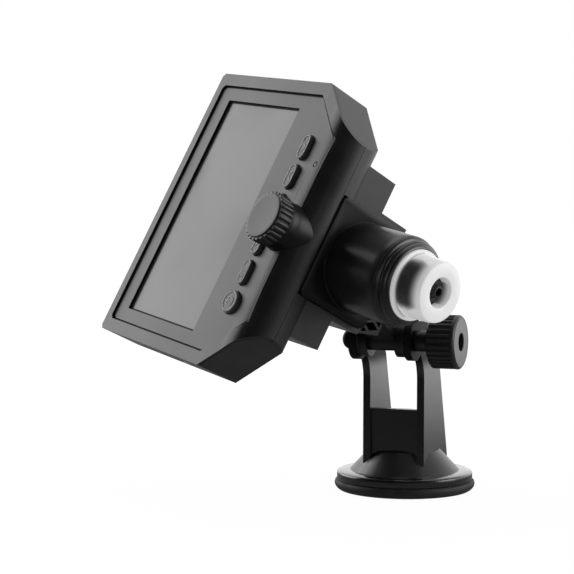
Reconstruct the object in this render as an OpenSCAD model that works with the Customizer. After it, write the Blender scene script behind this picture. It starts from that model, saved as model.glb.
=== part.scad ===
// Handheld digital microscope with a 4.3 inch display on a suction-cup stand.
// Millimetres. The origin is the bottom centre of the suction cup, +Z up,
// +X along the tilt axis towards the clamp knob. The display unit is drawn in
// its own frame, x to the right of the screen, y up the screen, z out of it,
// with its zero at the screen's centre on the plane of the front rim.

/* [Display housing] */
// Room between the display module and the housing's side faces
side_room = 7.35; // [7.2:0.05:10]
// Room between the display module and the housing's top face
top_room = 5.6; // [5.4:0.1:9]
// Bottom face of the housing below the screen's centre
house_bottom = 61.4; // [61:0.2:63]
// Thickness of the display housing
house_t = 19.3; // [18.5:0.1:22]
// Corner cut along the width, at the bottom left and right
cut_x = 17.5; // [14:0.5:19]
// Corner cut along the height
cut_y = 20.3; // [17:0.1:24]
// Radius of the full round along the front bottom edge
nose_r = 12; // [11.8:0.1:12.4]
// How far the round bulges below the bottom face
nose_drop = 2.7; // [2.4:0.1:3]
// How far the side faces lean in at the rear
side_draft = 0.5; // [0:0.1:0.8]
// Wall of the rear shell
wall = 2.2; // [1.8:0.1:2.6]
// Edge of the front bezel that shows at the side
lip = 1.2; // [0.9:0.1:1.6]
// Thickness of the bezel's front wall
front_wall = 2.6; // [2.4:0.1:3.2]
// Depth of the sunken front panel behind the rim
panel_depth = 0.9; // [0.5:0.1:1.2]
// Width of the raised rim at the sides
rim_side = 5.3; // [3.5:0.1:7]
// Width of the raised rim at the top
rim_top = 4; // [3:0.1:5]
// Width of the groove along the sunken panel's edge
groove_w = 0.8; // [0.5:0.1:1.2]
// Depth of that groove below the panel
groove_depth = 0.5; // [0.3:0.1:0.7]

/* [Display] */
// Width of the display window
window_w = 97; // [92:0.5:100]
// Height of the display window
window_h = 53.4; // [50:0.2:56]
// Depth of the window glass behind the rim
window_depth = 2.05; // [1.7:0.05:2.2]
// Thickness of the window glass
window_t = 0.8; // [0.6:0.1:1]
// How far the display module reaches past the window at each side
lcd_side = 4.25; // [3.5:0.05:5]
// How far the display module reaches past the window at top and bottom
lcd_edge = 6.9; // [4:0.1:8]
// Thickness of the display module
lcd_t = 2.9; // [2.5:0.1:3.2]

/* [Rear boxes] */
// Room for a contact between the battery cell and the box's end wall
contact_room = 1.2; // [1:0.1:3]
// Rear face of the battery box behind the rim
box_z = 33.4; // [33.2:0.2:36]
// Top of the battery box above the screen's centre
box_top = 6; // [5:0.5:12]
// Width of the optics block
block_w = 46.6; // [45.6:0.2:50]
// Rear face of the optics block behind the rim
block_z = 47.4; // [47.2:0.2:50]
// Top of the optics block below the screen's centre
block_top = 27; // [24:0.5:30]
// Diameter of the battery cell
cell_d = 18.4; // [18:0.1:18.6]
// Length of the battery cell
cell_l = 65; // [60:0.5:65.4]
// Height of the battery cell's axis below the screen's centre
cell_y = 7; // [6.5:0.1:8]

/* [Barrel] */
// Rearward lean of the barrel from the screen's plane
barrel_lean = 11; // [8:0.5:12]
// Barrel axis behind the rim, at the barrel's zero point
barrel_z = 33; // [32.5:0.1:33.5]
// Barrel's zero point below the screen's centre
barrel_y = 62; // [61.8:0.1:62.4]
// Outer radius of the barrel
barrel_r = 17.4; // [16.9:0.1:18.4]
// Wall of the barrel
barrel_wall = 1.9; // [1.6:0.05:2]
// Length of the barrel from its zero point
barrel_l = 25.5; // [24:0.5:30]
// Half width of the barrel's seat plate
seat_half_w = 20.5; // [20:0.1:21]
// Front edge of the seat plate behind the rim
seat_front = 12.1; // [11.9:0.1:12.6]
// How far the seat plate stands below the bottom face
seat_drop = 3.5; // [2.8:0.1:4]
// Radius of the flare where the barrel grows from its seat
flare_r = 3; // [2:0.5:6]
// Length of the grooved end ring
ring_l = 5.1; // [4.5:0.1:6]

/* [Lens and light] */
// How far the clear cap's rim stays inside the barrel's outside
ring_cover = 3.9; // [3.6:0.1:4.2]
// Step from the clear cap's rim down to its body
cap_step = 1.5; // [1:0.1:2]
// Length of the clear cap's rim
cap_rim_l = 2.4; // [2:0.1:3]
// Length of the clear cap
cap_l = 12.6; // [11.5:0.1:14]
// Wall of the clear cap
cap_wall = 1.5; // [1.2:0.1:1.9]
// Radius of the hole in the clear cap
cap_hole = 5.8; // [5.6:0.1:6.4]
// Length of the clear cap's inner sleeve
sleeve_l = 5; // [3:0.5:6]
// Outer radius of the lens tube
lens_r = 5.2; // [4.8:0.1:5.3]
// Front face of the lens tube from the barrel's zero point
lens_front = 40; // [38:0.2:40.4]
// Running gap between the lens carriage and the barrel's bore
carriage_gap = 0.3; // [0.2:0.05:0.5]
// Length of the lens carriage
carriage_l = 11; // [8:0.5:12]
// Rear end of the carriage from the barrel's zero point
carriage_s = 8; // [7.6:0.2:9]

/* [Focus drive] */
// Height of the focus shaft below the screen's centre
focus_y = 53.2; // [53:0.1:53.6]
// Radius of the focus knob over its ribs
knob_r = 10.2; // [9.6:0.1:11]
// Front face of the focus knob before the rim
knob_z = 10; // [9.5:0.5:12]
// Length of the ribbed part of the focus knob
knob_l = 6.4; // [5:0.2:7]
// Radius of the smooth boss behind the knob
boss_r = 9.5; // [9:0.1:9.9]
// Radius of the focus shaft
shaft_r = 2; // [1.5:0.1:2.2]
// Pitch radius of the focus pinion
pinion_r = 4; // [3.9:0.05:4.1]
// Number of teeth on the focus pinion
pinion_teeth = 12; // [12:1:12]

/* [Buttons] */
// Height of the button row below the screen's centre
key_y = 43.6; // [42.8:0.1:44]
// Distance between neighbouring buttons
key_step = 12.5; // [12:0.1:13]
// Centre of the middle right button from the screen's centre
key_right_x = 20.1; // [19.5:0.1:21]
// Centre of the first left button from the screen's centre
key_left_x = 8.2; // [8:0.1:9]
// Length of an oblong button
key_l = 10.4; // [9:0.2:10.8]
// Width of an oblong button
key_w = 5; // [4.4:0.2:5.4]
// Radius of the round power button
power_r = 4.7; // [4.2:0.1:5]
// How far a button stands out of the panel
key_rise = 1.5; // [1.1:0.1:2]
// Gap around a button
key_gap = 0.25; // [0.15:0.05:0.35]

/* [Stand] */
// Radius of the rubber suction cup
cup_r = 29; // [28.4:0.2:34]
// Thickness of the rubber suction cup
cup_t = 4.2; // [3.8:0.1:5]
// Radius of the base disc
disc_r = 28; // [26:0.2:28.2]
// Thickness of the base disc
disc_t = 4; // [3.4:0.1:5]
// Radius of the foot of the yoke's cone
cone_r = 22.6; // [22.2:0.2:24]
// Radius of the top of the yoke's cone
cone_top_r = 14.5; // [13.5:0.5:16]
// Height of the yoke's cone
cone_h = 8.6; // [7:0.2:9]
// Clear distance between the yoke's arms
arm_gap = 20; // [19:0.2:22]
// Thickness of a yoke arm
arm_t = 3.1; // [2.6:0.1:4]
// Height of the tilt axis
hub_z = 63.5; // [60:0.5:72]
// How far the tilt axis stands in front of the cup's centre
hub_y = 24.2; // [22:0.2:27]
// Radius of the rounded arm ends at the tilt axis
arm_boss_r = 8; // [7:0.1:8.1]
// Front edge of the arms from the cup's centre
arm_front = 14; // [12:0.2:15]
// Height of the web between the arms
web_top = 34.5; // [33:0.1:36]
// Height of the lever's pin
pin_z = 24; // [23:0.1:25]

/* [Clamp] */
// Radius of the clamp bolt
bolt_r = 2.5; // [2:0.1:2.6]
// Clearance around the clamp bolt
bolt_gap = 0.08; // [0.05:0.01:0.1]
// Radius of the hub between its collars
hub_r = 4.2; // [4:0.1:5]
// Radius of the hub's end collars
collar_r = 6.7; // [6:0.1:7.4]
// Length of a hub collar
collar_l = 3.4; // [2.5:0.1:4]
// Thickness of a friction washer
washer_t = 0.8; // [0.5:0.1:1]
// Radius of the clamp knob over its ribs
clamp_r = 10.7; // [9.5:0.1:12]
// Length of the ribbed part of the clamp knob
clamp_l = 12; // [7:0.5:14]
// Length of the clamp knob's neck
neck_l = 6.4; // [5:0.2:12]
// Radius of the clamp knob's neck
neck_r = 4.2; // [3.6:0.1:5]

/* [Mounting head] */
// Depth of the ribbed head behind the optics block
head_t = 9.6; // [8:0.2:9.8]
// Left end of the head from the screen's centre
head_left = 22; // [20:0.5:23]
// Right end of the head from the screen's centre
head_right = 12; // [8:0.5:15]
// Lower end of the head below the screen's centre
head_low = 60.8; // [60:0.1:61]
// Upper end of the head below the screen's centre
head_high = 36; // [32:0.5:38]
// Number of crossed-rib bays in the head
head_bays = 7; // [5:1:8]
// Thickness of the head's outer walls and ribs
rib_t = 1.1; // [0.9:0.1:1.3]

/* [Hidden] */
$fn = 64;
eps = 0.01;

// Attitude of the display unit on its stand: turns about X, then Y, then Z
pose = [15.3, -63.0, 42.6];
// Tilt axis in the display unit's frame
pivot = [-17.3, -49, -70.5];
gap = 0.15;                             // seam between mouldings
lcd_w = window_w + 2 * lcd_side;
lcd_h = window_h + 2 * lcd_edge;
house_w = lcd_w + 2 * side_room;
house_top = lcd_h / 2 + top_room;
box_w = cell_l + 2 * (wall + contact_room);
barrel_bore = barrel_r - barrel_wall;
carriage_r = barrel_bore - carriage_gap;
cap_rim_r = barrel_r - ring_cover;
cap_r = cap_rim_r - cap_step;
half_w = house_w / 2;
corner_y = -house_bottom + cut_y;       // where the corner cuts begin
nose_y = nose_r - house_bottom - nose_drop;
nose_z = 0.5 - nose_r;                  // the round stands 0.5 above the rim plane before it is cut flat
part_z = nose_z;                        // seam under the nose
back_z = -house_t;
cut_slope = cut_x / cut_y;
black = [0.10, 0.10, 0.11];
mid = [0.33, 0.33, 0.34];

// ---------- frames ----------
module device() {
    translate([0, -hub_y, hub_z]) rotate(pose) translate(-pivot) children();
}

module barrel() {
    translate([0, -barrel_y, -barrel_z]) rotate([90 + barrel_lean, 0, 0]) children();
}

module on_axis() {
    translate([0, -hub_y, hub_z]) rotate([0, 90, 0]) children();
}

// a prism along x whose outline is drawn as y across and z up
module along_x(l) {
    rotate([90, 0, 90]) translate([0, 0, -l / 2]) linear_extrude(l) children();
}

// ---------- housing outlines ----------
// the front outline, inset by d at the sides and cuts and by top at the top
module outline_2d(d = 0, top = 0) {
    shift = d * sqrt(1 + cut_slope * cut_slope);
    low = 10;                           // runs past the bottom so the nose is whole
    a = half_w - d;
    y1 = corner_y - (d - shift) / cut_slope;
    x2 = half_w - shift - (corner_y + house_bottom + low) * cut_slope;
    polygon([[-a, y1], [-x2, -house_bottom - low], [x2, -house_bottom - low], [a, y1],
        [a, house_top - top - 1.5], [a - 1.5, house_top - top],
        [1.5 - a, house_top - top], [-a, house_top - top - 1.5]]);
}

module outline(d = 0, top = 0) {
    intersection() {
        translate([0, 0, -80]) linear_extrude(120) outline_2d(d, top);
        // the side faces lean in towards the rear
        drafted(house_w - 2 * d, -90, 60, 0, -house_t, side_draft, 20);
    }
}

// a block along y whose side faces lean in by d between the depths z0 and z1
module drafted(w, y0, y1, z0, z1, d, front = 0) {
    translate([0, y1, 0]) rotate([90, 0, 0]) linear_extrude(y1 - y0) polygon([
        [-w / 2, z0], [-w / 2, z0 + front], [w / 2, z0 + front], [w / 2, z0],
        [w / 2 - d, z1], [d - w / 2, z1]]);
}

// section of the housing: flat front, full round nose, flat back
module section_2d(d = 0, back = 0) {
    intersection() {
        union() {
            translate([nose_y, nose_z]) circle(nose_r - d);
            translate([nose_y, back_z - 5]) square([house_top - nose_y + 5, house_t + 10]);
        }
        translate([-100, back_z + back]) square([200, house_t - d - back]);
    }
}

module section(d = 0, back = 0) {
    along_x(house_w + 20) section_2d(d, back);
}

module front_half() {
    translate([-100, -100, part_z]) cube([200, 200, 60]);
}

module box3(x0, x1, y0, y1, z0, z1) {
    translate([x0, y0, z0]) cube([x1 - x0, y1 - y0, z1 - z0]);
}

// ---------- button places ----------
// power, menu, down, mode, up, ok
key_x = [-key_left_x - 2 * key_step, -key_left_x - key_step, -key_left_x,
    key_right_x - key_step, key_right_x, key_right_x + key_step];
key_top = key_rise - panel_depth;
key_foot = -4.1;                        // where a button meets its switch
travel = 0.6;
flange_z = -front_wall - 0.1;

module pill_2d(l, w) {
    hull_x = (l - w) / 2;
    for (s = [-1, 1]) translate([s * hull_x, 0]) circle(w / 2);
    square([2 * hull_x, w], center = true);
}

module key_2d(i, grow = 0) {
    if (i == 0) circle(power_r + grow);
    else pill_2d(key_l + 2 * grow, key_w + 2 * grow);
}

module key(i) {
    device() translate([key_x[i], -key_y, 0]) {
        translate([0, 0, flange_z]) linear_extrude(key_top - flange_z - 0.3) key_2d(i);
        translate([0, 0, key_top - 0.3 - eps]) linear_extrude(0.3 + eps) key_2d(i, -0.3);
        translate([0, 0, flange_z - 0.8]) linear_extrude(0.8) key_2d(i, 0.6);
        translate([0, 0, key_foot]) cylinder(r = 1.6, h = flange_z - key_foot);
    }
}

module power_button() { color(mid) key(0); }
module menu_button() { color(mid) key(1); }
module down_button() { color(mid) key(2); }
module mode_button() { color(mid) key(3); }
module up_button() { color(mid) key(4); }
module ok_button() { color(mid) key(5); }

// ---------- front bezel ----------
led_x = 26.7;
led_y = 54;
led_r = 1.2;
boss_top = knob_z - knob_l - 0.3;       // running gap under the knob
bush_r = 3.2;

module bezel_skin(from, to, inset) {
    difference() {
        intersection() {
            section(from);
            outline(inset, inset);
            front_half();
        }
        section(to);
    }
}

module focus_boss() {
    intersection() {
        translate([0, -focus_y, nose_z]) cylinder(r = boss_r, h = boss_top - nose_z);
        union() {
            section(0.8);
            box3(-20, 20, -house_bottom - 6, 0, -panel_depth - 0.4, boss_top + 1);
            translate([0, -focus_y, nose_z]) cylinder(r = boss_r, h = boss_top - nose_z);
        }
    }
    translate([0, -focus_y, -4]) cylinder(r1 = boss_r + 1.6, r2 = boss_r - 0.3, h = 4.6);
}

module front_bezel() {
    color(mid) device() difference() {
        union() {
            bezel_skin(0, lip, 0);
            bezel_skin(lip - eps, front_wall, wall + 0.1);
            difference() {
                focus_boss();
                section(front_wall);
            }
            for (p = case_screw_at) translate([p[0], p[1], post_end])
                cylinder(r = 2.1, h = -post_end - front_wall + 0.3);
        }
        for (p = case_screw_at) translate([p[0], p[1], -20])
            cylinder(r = 1.22, h = 20 - front_wall - 1);
        // sunken panel with a groove along its edge, open towards the nose
        difference() {
            union() {
                translate([0, 0, -panel_depth]) linear_extrude(5) outline_2d(rim_side, rim_top);
                translate([0, 0, -panel_depth - groove_depth]) linear_extrude(5) difference() {
                    outline_2d(rim_side, rim_top);
                    outline_2d(rim_side + groove_w, rim_top + groove_w);
                }
            }
            translate([0, -focus_y, -5]) cylinder(r = boss_r, h = 20);
        }
        box3(-window_w / 2, window_w / 2, -window_h / 2, window_h / 2, -5, 5);
        box3(-window_w / 2 - 2.15, window_w / 2 + 2.15, -window_h / 2 - 2.15, window_h / 2 + 2.15,
            -5, -window_depth);
        for (i = [0:5]) translate([key_x[i], -key_y, -6]) linear_extrude(12) key_2d(i, key_gap);
        translate([led_x, -led_y, -10]) cylinder(r = led_r, h = 20);
        translate([0, -focus_y, -20]) cylinder(r = bush_r + 0.03, h = 40);
    }
}

// ---------- rear shell ----------
cell_z = -box_z + wall + cell_d / 2 + 0.2;
cover_low = -cell_y - cell_d / 2 - 1.2;
cover_high = -cell_y + cell_d / 2 + 1.2;
cover_t = wall - 0.2;
tongue = 0.7;
block_in = block_w / 2 - wall;
seat_back = block_z - 0.9;
usb_y = -14;
card_y = 14;
socket_z = -11.4;

// opening in the bottom that the barrel's seat plate closes
module seat_opening(grow) {
    w = seat_half_w + grow;
    box3(-w, w, -house_bottom - 10, -house_bottom + 6, -seat_back - grow, -seat_front + grow);
}

module cover_2d(grow) {
    // y across, z up: plate with a tongue along both long edges
    lo = cover_low - grow;
    hi = cover_high + grow;
    translate([lo, -box_z]) square([hi - lo, cover_t + 2 * grow]);
    translate([lo - tongue, -box_z + 0.65 - grow]) square([hi - lo + 2 * tongue, 0.7 + 2 * grow]);
}

module rear_shell() {
    color(black) device() {
        shell_body();
        for (s = [-1, 1]) seat_ledge(s);
    }
}

module shell_body() {
    difference() {
        union() {
            // side walls reach up behind the bezel's edge
            intersection() {
                section(lip + gap);
                outline();
            }
            intersection() {
                section();
                outline();
                translate([-100, -100, part_z - gap - 60]) cube([200, 200, 60]);
            }
            drafted(box_w, -house_bottom, box_top, back_z + 1, -box_z, side_draft);
            drafted(block_w, -house_bottom, -block_top, back_z + 1, -block_z, 1.4 * side_draft);
        }
        // inside of the display part, open to the front
        difference() {
            outline(wall, wall);
            difference() {
                translate([-100, -100, -200]) cube([200, 200, 200 + part_z]);
                section(wall, wall);
            }
        }
        // inside of the battery box and of the optics block
        box3(wall - box_w / 2, box_w / 2 - wall, wall - house_bottom, box_top - wall,
            wall - box_z, -5);
        box3(-block_in, block_in, wall - house_bottom, -block_top - wall, wall - block_z, -20);
        seat_opening(gap);
        // slot for the sliding cover, open at the right
        translate([box_w / 2 + 1, 0, 0]) along_x_from(box_w - wall + 1) cover_2d(0.15);
        // sockets in the left side wall
        box3(-half_w - 5, -half_w + 5, usb_y - 4.2, usb_y + 4.2, socket_z - 1.7, socket_z + 1.7);
        box3(-half_w - 5, -half_w + 5, card_y - 6, card_y + 6, socket_z - 1, socket_z + 1);
        // screw holes
        for (p = case_screw_at) translate([p[0], p[1], back_z - 1]) cylinder(r = 1.7, h = 8);
        for (p = head_screw_at) translate([p[0], p[1], -block_z - 1]) cylinder(r = 1.3, h = 8);
    }
}

// ledge over the barrel's seat plate, reaching the battery box's end wall
module seat_ledge(s) {
    x0 = s * 15.4;
    x1 = s * (box_w / 2 - wall + 0.3);
    difference() {
        box3(min(x0, x1), max(x0, x1), seat_in + 0.05, seat_in + 2.4, seat_screw_z - 3.4,
            seat_screw_z + 3.4);
        translate([s * seat_screw_x, 0, seat_screw_z]) rotate([90, 0, 0])
            cylinder(r = 1.5, h = 80);
    }
}

// a prism along x that ends at x = 0
module along_x_from(l) {
    rotate([90, 0, 90]) translate([0, 0, -l]) linear_extrude(l) children();
}

module battery_cover() {
    color(black) device() {
        difference() {
            translate([box_w / 2, 0, 0]) along_x_from(box_w - wall - 0.2) cover_2d(0);
            // thumb grooves
            for (i = [0:4]) box3(22 + 2 * i, 23 + 2 * i, -cell_y - 6, -cell_y + 6,
                -box_z - 1, -box_z + 0.5);
        }
    }
}

module battery_cell() {
    color([0.25, 0.35, 0.45]) device() translate([-cell_l / 2, -cell_y, cell_z]) rotate([0, 90, 0]) {
        cylinder(r = cell_d / 2, h = cell_l - 0.6);
        cylinder(r = 3, h = cell_l);
    }
}

module battery_contacts() {
    color("silver") device() for (s = [-1, 1]) {
        x0 = s * (cell_l / 2 + 0.05);
        x1 = s * (box_w / 2 - wall);
        translate([min(x0, x1), -cell_y - 5, cell_z - 6]) cube([abs(x1 - x0), 10, 12]);
    }
}

case_screw_at = [[-half_w + 4.6, house_top - 7.2], [half_w - 4.6, house_top - 7.2],
    [-half_w + 4.6, corner_y + 3], [half_w - 4.6, corner_y + 3]];
post_end = -7.4;                        // lower end of the bezel's screw posts

module case_screws() {
    color("silver") device() for (p = case_screw_at) translate([p[0], p[1], back_z - 0.9]) {
        difference() {
            cylinder(r = 2.6, h = 0.9);
            translate([0, 0, -eps]) cylinder(r = 1.2, h = 0.5, $fn = 6);
        }
        cylinder(r = 1.2, h = house_t + 0.9 - front_wall - 1.2);
    }
}

// ---------- display and boards ----------
lcd_z = -window_depth - window_t - 0.05;
board_z = lcd_z - lcd_t - 2.4;
board_t = 1.2;
key_board_z = -7;

module lcd_window() {
    color([0.45, 0.45, 0.46]) device() box3(-window_w / 2 - 2, window_w / 2 + 2,
        -window_h / 2 - 2, window_h / 2 + 2, -window_depth - window_t, -window_depth);
}

module lcd_panel() {
    color([0.2, 0.2, 0.22]) device() box3(-lcd_w / 2, lcd_w / 2, -lcd_h / 2, lcd_h / 2,
        lcd_z - lcd_t, lcd_z);
}

flex_x = -24;
flex_w = 18;
flex_out = 1.2;                         // how far the film stands out past the display's top
flex_t = 0.3;

module lcd_flex() {
    color([0.7, 0.45, 0.15]) device() translate([flex_x, 0, 0]) along_x(flex_w) polygon([
        [lcd_h / 2 - 2, lcd_z - lcd_t], [lcd_h / 2 + flex_out, lcd_z - lcd_t],
        [lcd_h / 2 + flex_out, board_z], [board_top_y - 3, board_z],
        [board_top_y - 3, board_z + flex_t], [lcd_h / 2 + flex_out - flex_t, board_z + flex_t],
        [lcd_h / 2 + flex_out - flex_t, lcd_z - lcd_t - flex_t],
        [lcd_h / 2 - 2, lcd_z - lcd_t - flex_t]]);
}

board_top_y = lcd_h / 2 - 1;
board_low_y = -block_top;
board_half = half_w - wall - 1;

module main_board() {
    color([0.1, 0.35, 0.2]) device() difference() {
        box3(-board_half, board_half, board_low_y, board_top_y, board_z - board_t, board_z);
        for (p = case_screw_at) translate([p[0], p[1], -20]) cylinder(r = 2, h = 20);
    }
}

// centre, sides and height of each chip on the main board
chips = [[0, 17, 18, 18, 1.4], [-24, 15, 12, 10, 1.1], [24, 14.5, 8, 5, 1.6],
    for (i = [0:3]) [34 + 4 * i, 12, 2, 4, 1.8]];

module board_chips() {
    color([0.15, 0.15, 0.15]) device() for (c = chips)
        box3(c[0] - c[2] / 2, c[0] + c[2] / 2, c[1] - c[3] / 2, c[1] + c[3] / 2,
            board_z - board_t - c[4], board_z - board_t);
}

module key_board() {
    color([0.1, 0.35, 0.2]) device() difference() {
        union() {
            box3(key_x[0] - 8, key_x[5] + 8, -key_y - 4.5, -key_y + 5, key_board_z - board_t,
                key_board_z);
            box3(led_x - 4, led_x + 4, -led_y - 3, -key_y, key_board_z - board_t, key_board_z);
        }

        translate([0, -focus_y, -20]) cylinder(r = shaft_r + 3, h = 30);
    }
}

module key_switches() {
    color([0.75, 0.75, 0.72]) device() for (i = [0:5]) translate([key_x[i], -key_y, key_board_z]) {
        translate([-2.6, -2.6, 0]) cube([5.2, 5.2, 1.5]);
        cylinder(r = 1.3, h = key_foot - travel - 0.15 - key_board_z);
    }
}

module status_led() {
    color([0.8, 0.8, 0.75]) device() translate([led_x, -led_y, key_board_z]) {
        cylinder(r = led_r - 0.1, h = -2.3 - key_board_z);
        cylinder(r = led_r + 0.5, h = 1);
    }
}

module usb_socket() {
    color("silver") device() difference() {
        box3(-half_w + 0.3, -half_w + 6, usb_y - 3.9, usb_y + 3.9, socket_z - 1.4, socket_z + 1.4);
        box3(-half_w, -half_w + 5, usb_y - 3.5, usb_y + 3.5, socket_z - 1.05, socket_z + 1.05);
        box3(-half_w - 1, -half_w + 1, usb_y - 3.5, usb_y + 3.5, socket_z - 1.05, socket_z + 1.05);
    }
}

module card_socket() {
    color("silver") device() difference() {
        box3(-half_w + wall + side_draft + 0.1, -half_w + 17, card_y - 7.2, card_y + 7.2, socket_z - 0.95,
            socket_z + 0.95);
        box3(-half_w - 1, -half_w + 16, card_y - 5.6, card_y + 5.6, socket_z - 0.5, socket_z + 0.5);
    }
}

// ---------- focus drive ----------
pinion_front = -16.6;
pinion_back = -20.4;
tooth_h = 0.9;
pitch = 2 * PI * pinion_r / pinion_teeth;

module ribbed_2d(r, n, depth) {
    circle(r - depth);
    for (i = [0:n - 1]) rotate(i * 360 / n) translate([r - depth, 0]) circle(depth, $fn = 24);
}

module focus_knob() {
    color(black) device() translate([0, -focus_y, knob_z - knob_l]) difference() {
        union() {
            linear_extrude(knob_l - 0.5) ribbed_2d(knob_r, 26, 0.8);
            translate([0, 0, knob_l - 0.5 - eps]) cylinder(r1 = 9.4, r2 = 9, h = 0.5 + eps);
        }
        translate([0, 0, -1]) cylinder(r = shaft_r, h = knob_l - 1);
    }
}

module focus_shaft() {
    color("silver") device() translate([0, -focus_y, pinion_back]) difference() {
        cylinder(r = shaft_r, h = knob_z - 2 - pinion_back);
        translate([0, 0, -1]) cylinder(r = 0.6, h = 2);
    }
}

module focus_pinion() {
    w = pitch * 0.2;
    color("goldenrod") device() translate([0, -focus_y, pinion_back]) difference() {
        linear_extrude(pinion_front - pinion_back) {
            circle(pinion_r - tooth_h / 2);
            for (i = [0:pinion_teeth - 1]) rotate((i + 0.5) * 360 / pinion_teeth)
                polygon([[pinion_r - tooth_h, -w * 1.3], [pinion_r + tooth_h / 2, -w * 0.55],
                    [pinion_r + tooth_h / 2, w * 0.55], [pinion_r - tooth_h, w * 1.3]]);
        }
        translate([0, 0, -1]) cylinder(r = shaft_r, h = 10);
    }
}

module shaft_bush() {
    color("goldenrod") device() translate([0, -focus_y, -6]) difference() {
        union() {
            cylinder(r = bush_r, h = boss_top + 6);
            cylinder(r = bush_r + 1, h = 1.2);
        }
        translate([0, 0, -1]) cylinder(r = shaft_r + 0.05, h = boss_top + 9);
    }
}

// ---------- barrel ----------
plate_y = -house_bottom - seat_drop;    // outer face of the seat plate
seat_in = plate_y + 6;                  // its inner face
seat_screw_x = 17.8;
seat_screw_z = -23.5;
bore_s = 4;                             // where the carriage's bore begins
sensor_s = -22;
sensor_r = 9;
rack_x = 4.9;
rack_w = 2.1;
rack_y0 = 10.2;
rack_y1 = 13.1;
rack_s0 = -19;

module seat_block() {
    // plate in the opening, corners eased towards the barrel
    w = seat_half_w;
    translate([0, plate_y + 6, 0]) rotate([90, 0, 0]) linear_extrude(6) polygon([
        [-w + 1.5, -seat_back], [w - 1.5, -seat_back], [w, -seat_back + 1.5],
        [w, -seat_front - 1.5], [w - 1.5, -seat_front], [-w + 1.5, -seat_front],
        [-w, -seat_front - 1.5], [-w, -seat_back + 1.5]]);
}

module barrel_housing() {
    color(black) device() difference() {
        union() {
            seat_block();
            intersection() {
                barrel() cylinder(r = barrel_r, h = barrel_l);
                box3(-40, 40, plate_y - 60, plate_y + 3, -90, 0);
            }
            // flare from the seat into the barrel
            intersection() {
                barrel() rotate_extrude() difference() {
                    square([barrel_r + flare_r, 3.5 + flare_r]);
                    translate([barrel_r + flare_r, 3.5 + flare_r]) circle(flare_r);
                }
                box3(-seat_half_w, seat_half_w, plate_y - 20, plate_y + 3, -seat_back - 4,
                    -seat_front);
            }
            barrel() translate([0, 0, sensor_s]) cylinder(r = sensor_r, h = -sensor_s);
        }
        barrel() {
            translate([0, 0, bore_s]) cylinder(r = barrel_bore, h = 60);
            translate([0, 0, sensor_s - 1]) cylinder(r = sensor_r - 1.5, h = 60);
            // way for the focus rack through the partition
            translate([2.2, rack_y0 - 0.4, -40]) cube([5.5, 6, 44]);
        }
        // way for the pinion above the seat
        box3(-6, 8, plate_y + 2.5, 0, -22, 0);
        for (s = [-1, 1]) translate([s * seat_screw_x, seat_in + 1, seat_screw_z])
            rotate([90, 0, 0]) cylinder(r = 1.22, h = 5);
    }
}

module seat_screws() {
    color("silver") device() for (s = [-1, 1])
        translate([s * seat_screw_x, seat_in + 2.4, seat_screw_z]) rotate([90, 0, 0]) {
            translate([0, 0, -0.5]) cylinder(r = 1.2, h = 6.5);
            translate([0, 0, -1.3]) cylinder(r = 2.1, h = 1.3);
        }
}

module end_ring() {
    color(black) device() barrel() translate([0, 0, barrel_l]) rotate_extrude() difference() {
        polygon([[cap_rim_r - 2.6, 0], [barrel_r - 0.1, 0], [barrel_r - 0.2, 0.5],
            [barrel_r - 1.2, 1.3], [barrel_r - 1.7, 1.4], [barrel_r - 1.7, 1.8],
            [barrel_r - 1.3, 1.9], [barrel_r - 1.3, 3.1], [barrel_r - 1.9, 3.9],
            [barrel_r - 2.5, 4.1], [barrel_r - 2.6, 4.5], [cap_rim_r + 0.5, ring_l],
            [cap_rim_r + 0.05, ring_l], [cap_rim_r + 0.05, ring_l - 1.5],
            [cap_rim_r - 2.6, ring_l - 1.5]]);
        translate([0, -1]) square([cap_rim_r - 2.5, 1.5]);
    }
}

module lens_carriage() {
    color([0.2, 0.2, 0.2]) device() {
        barrel() difference() {
            union() {
                translate([0, 0, carriage_s]) cylinder(r = carriage_r, h = carriage_l);
                // arm with the focus rack
                translate([rack_x, rack_y0, rack_s0])
                    cube([rack_w, rack_y1 - rack_y0, carriage_s - rack_s0 + 1]);
            }
            translate([0, 0, carriage_s - 1]) cylinder(r = lens_r, h = carriage_l + 2);
            translate([0, 0, carriage_s - 1]) difference() {
                cylinder(r = carriage_r - 2, h = carriage_l - 1.5);
                cylinder(r = lens_r + 2, h = carriage_l);
                translate([rack_x - 1, rack_y0 - 1, 0]) cube([rack_w + 2, 8, carriage_l]);
            }
        }
        intersection() {
            barrel() translate([pinion_r - tooth_h / 2, rack_y0, rack_s0])
                cube([rack_x - pinion_r + tooth_h / 2 + 0.1, rack_y1 - rack_y0, 17]);
            for (i = [-5:4]) translate([0, -focus_y + i * pitch, -40]) linear_extrude(50)
                polygon([[pinion_r - tooth_h / 2 + 0.2, -0.17 * pitch], [rack_x + 0.2, -0.26 * pitch],
                    [rack_x + 0.2, 0.26 * pitch], [pinion_r - tooth_h / 2 + 0.2, 0.17 * pitch]]);
        }
    }
}

module lens_tube() {
    color([0.05, 0.05, 0.05]) device() barrel() rotate_extrude() polygon([
        [3.2, carriage_s - 3], [lens_r, carriage_s - 3], [lens_r, lens_front - 0.6],
        [lens_r - 0.6, lens_front], [2.5, lens_front], [2.3, lens_front + 1.6],
        [1.5, lens_front + 2.2], [1.5, lens_front - 1.5], [3.2, lens_front - 3]]);
}

module lens_glass() {
    color([0.6, 0.7, 0.8]) device() barrel() {
        translate([0, 0, lens_front - 1.4]) cylinder(r = 1.5, h = 2);
        translate([0, 0, carriage_s + 2]) cylinder(r = 3.2, h = 2.5);
    }
}

module sensor_board() {
    color([0.1, 0.35, 0.2]) device() barrel() translate([-9, -9, sensor_s - 1.2]) cube([18, 18, 1.2]);
}

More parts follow.
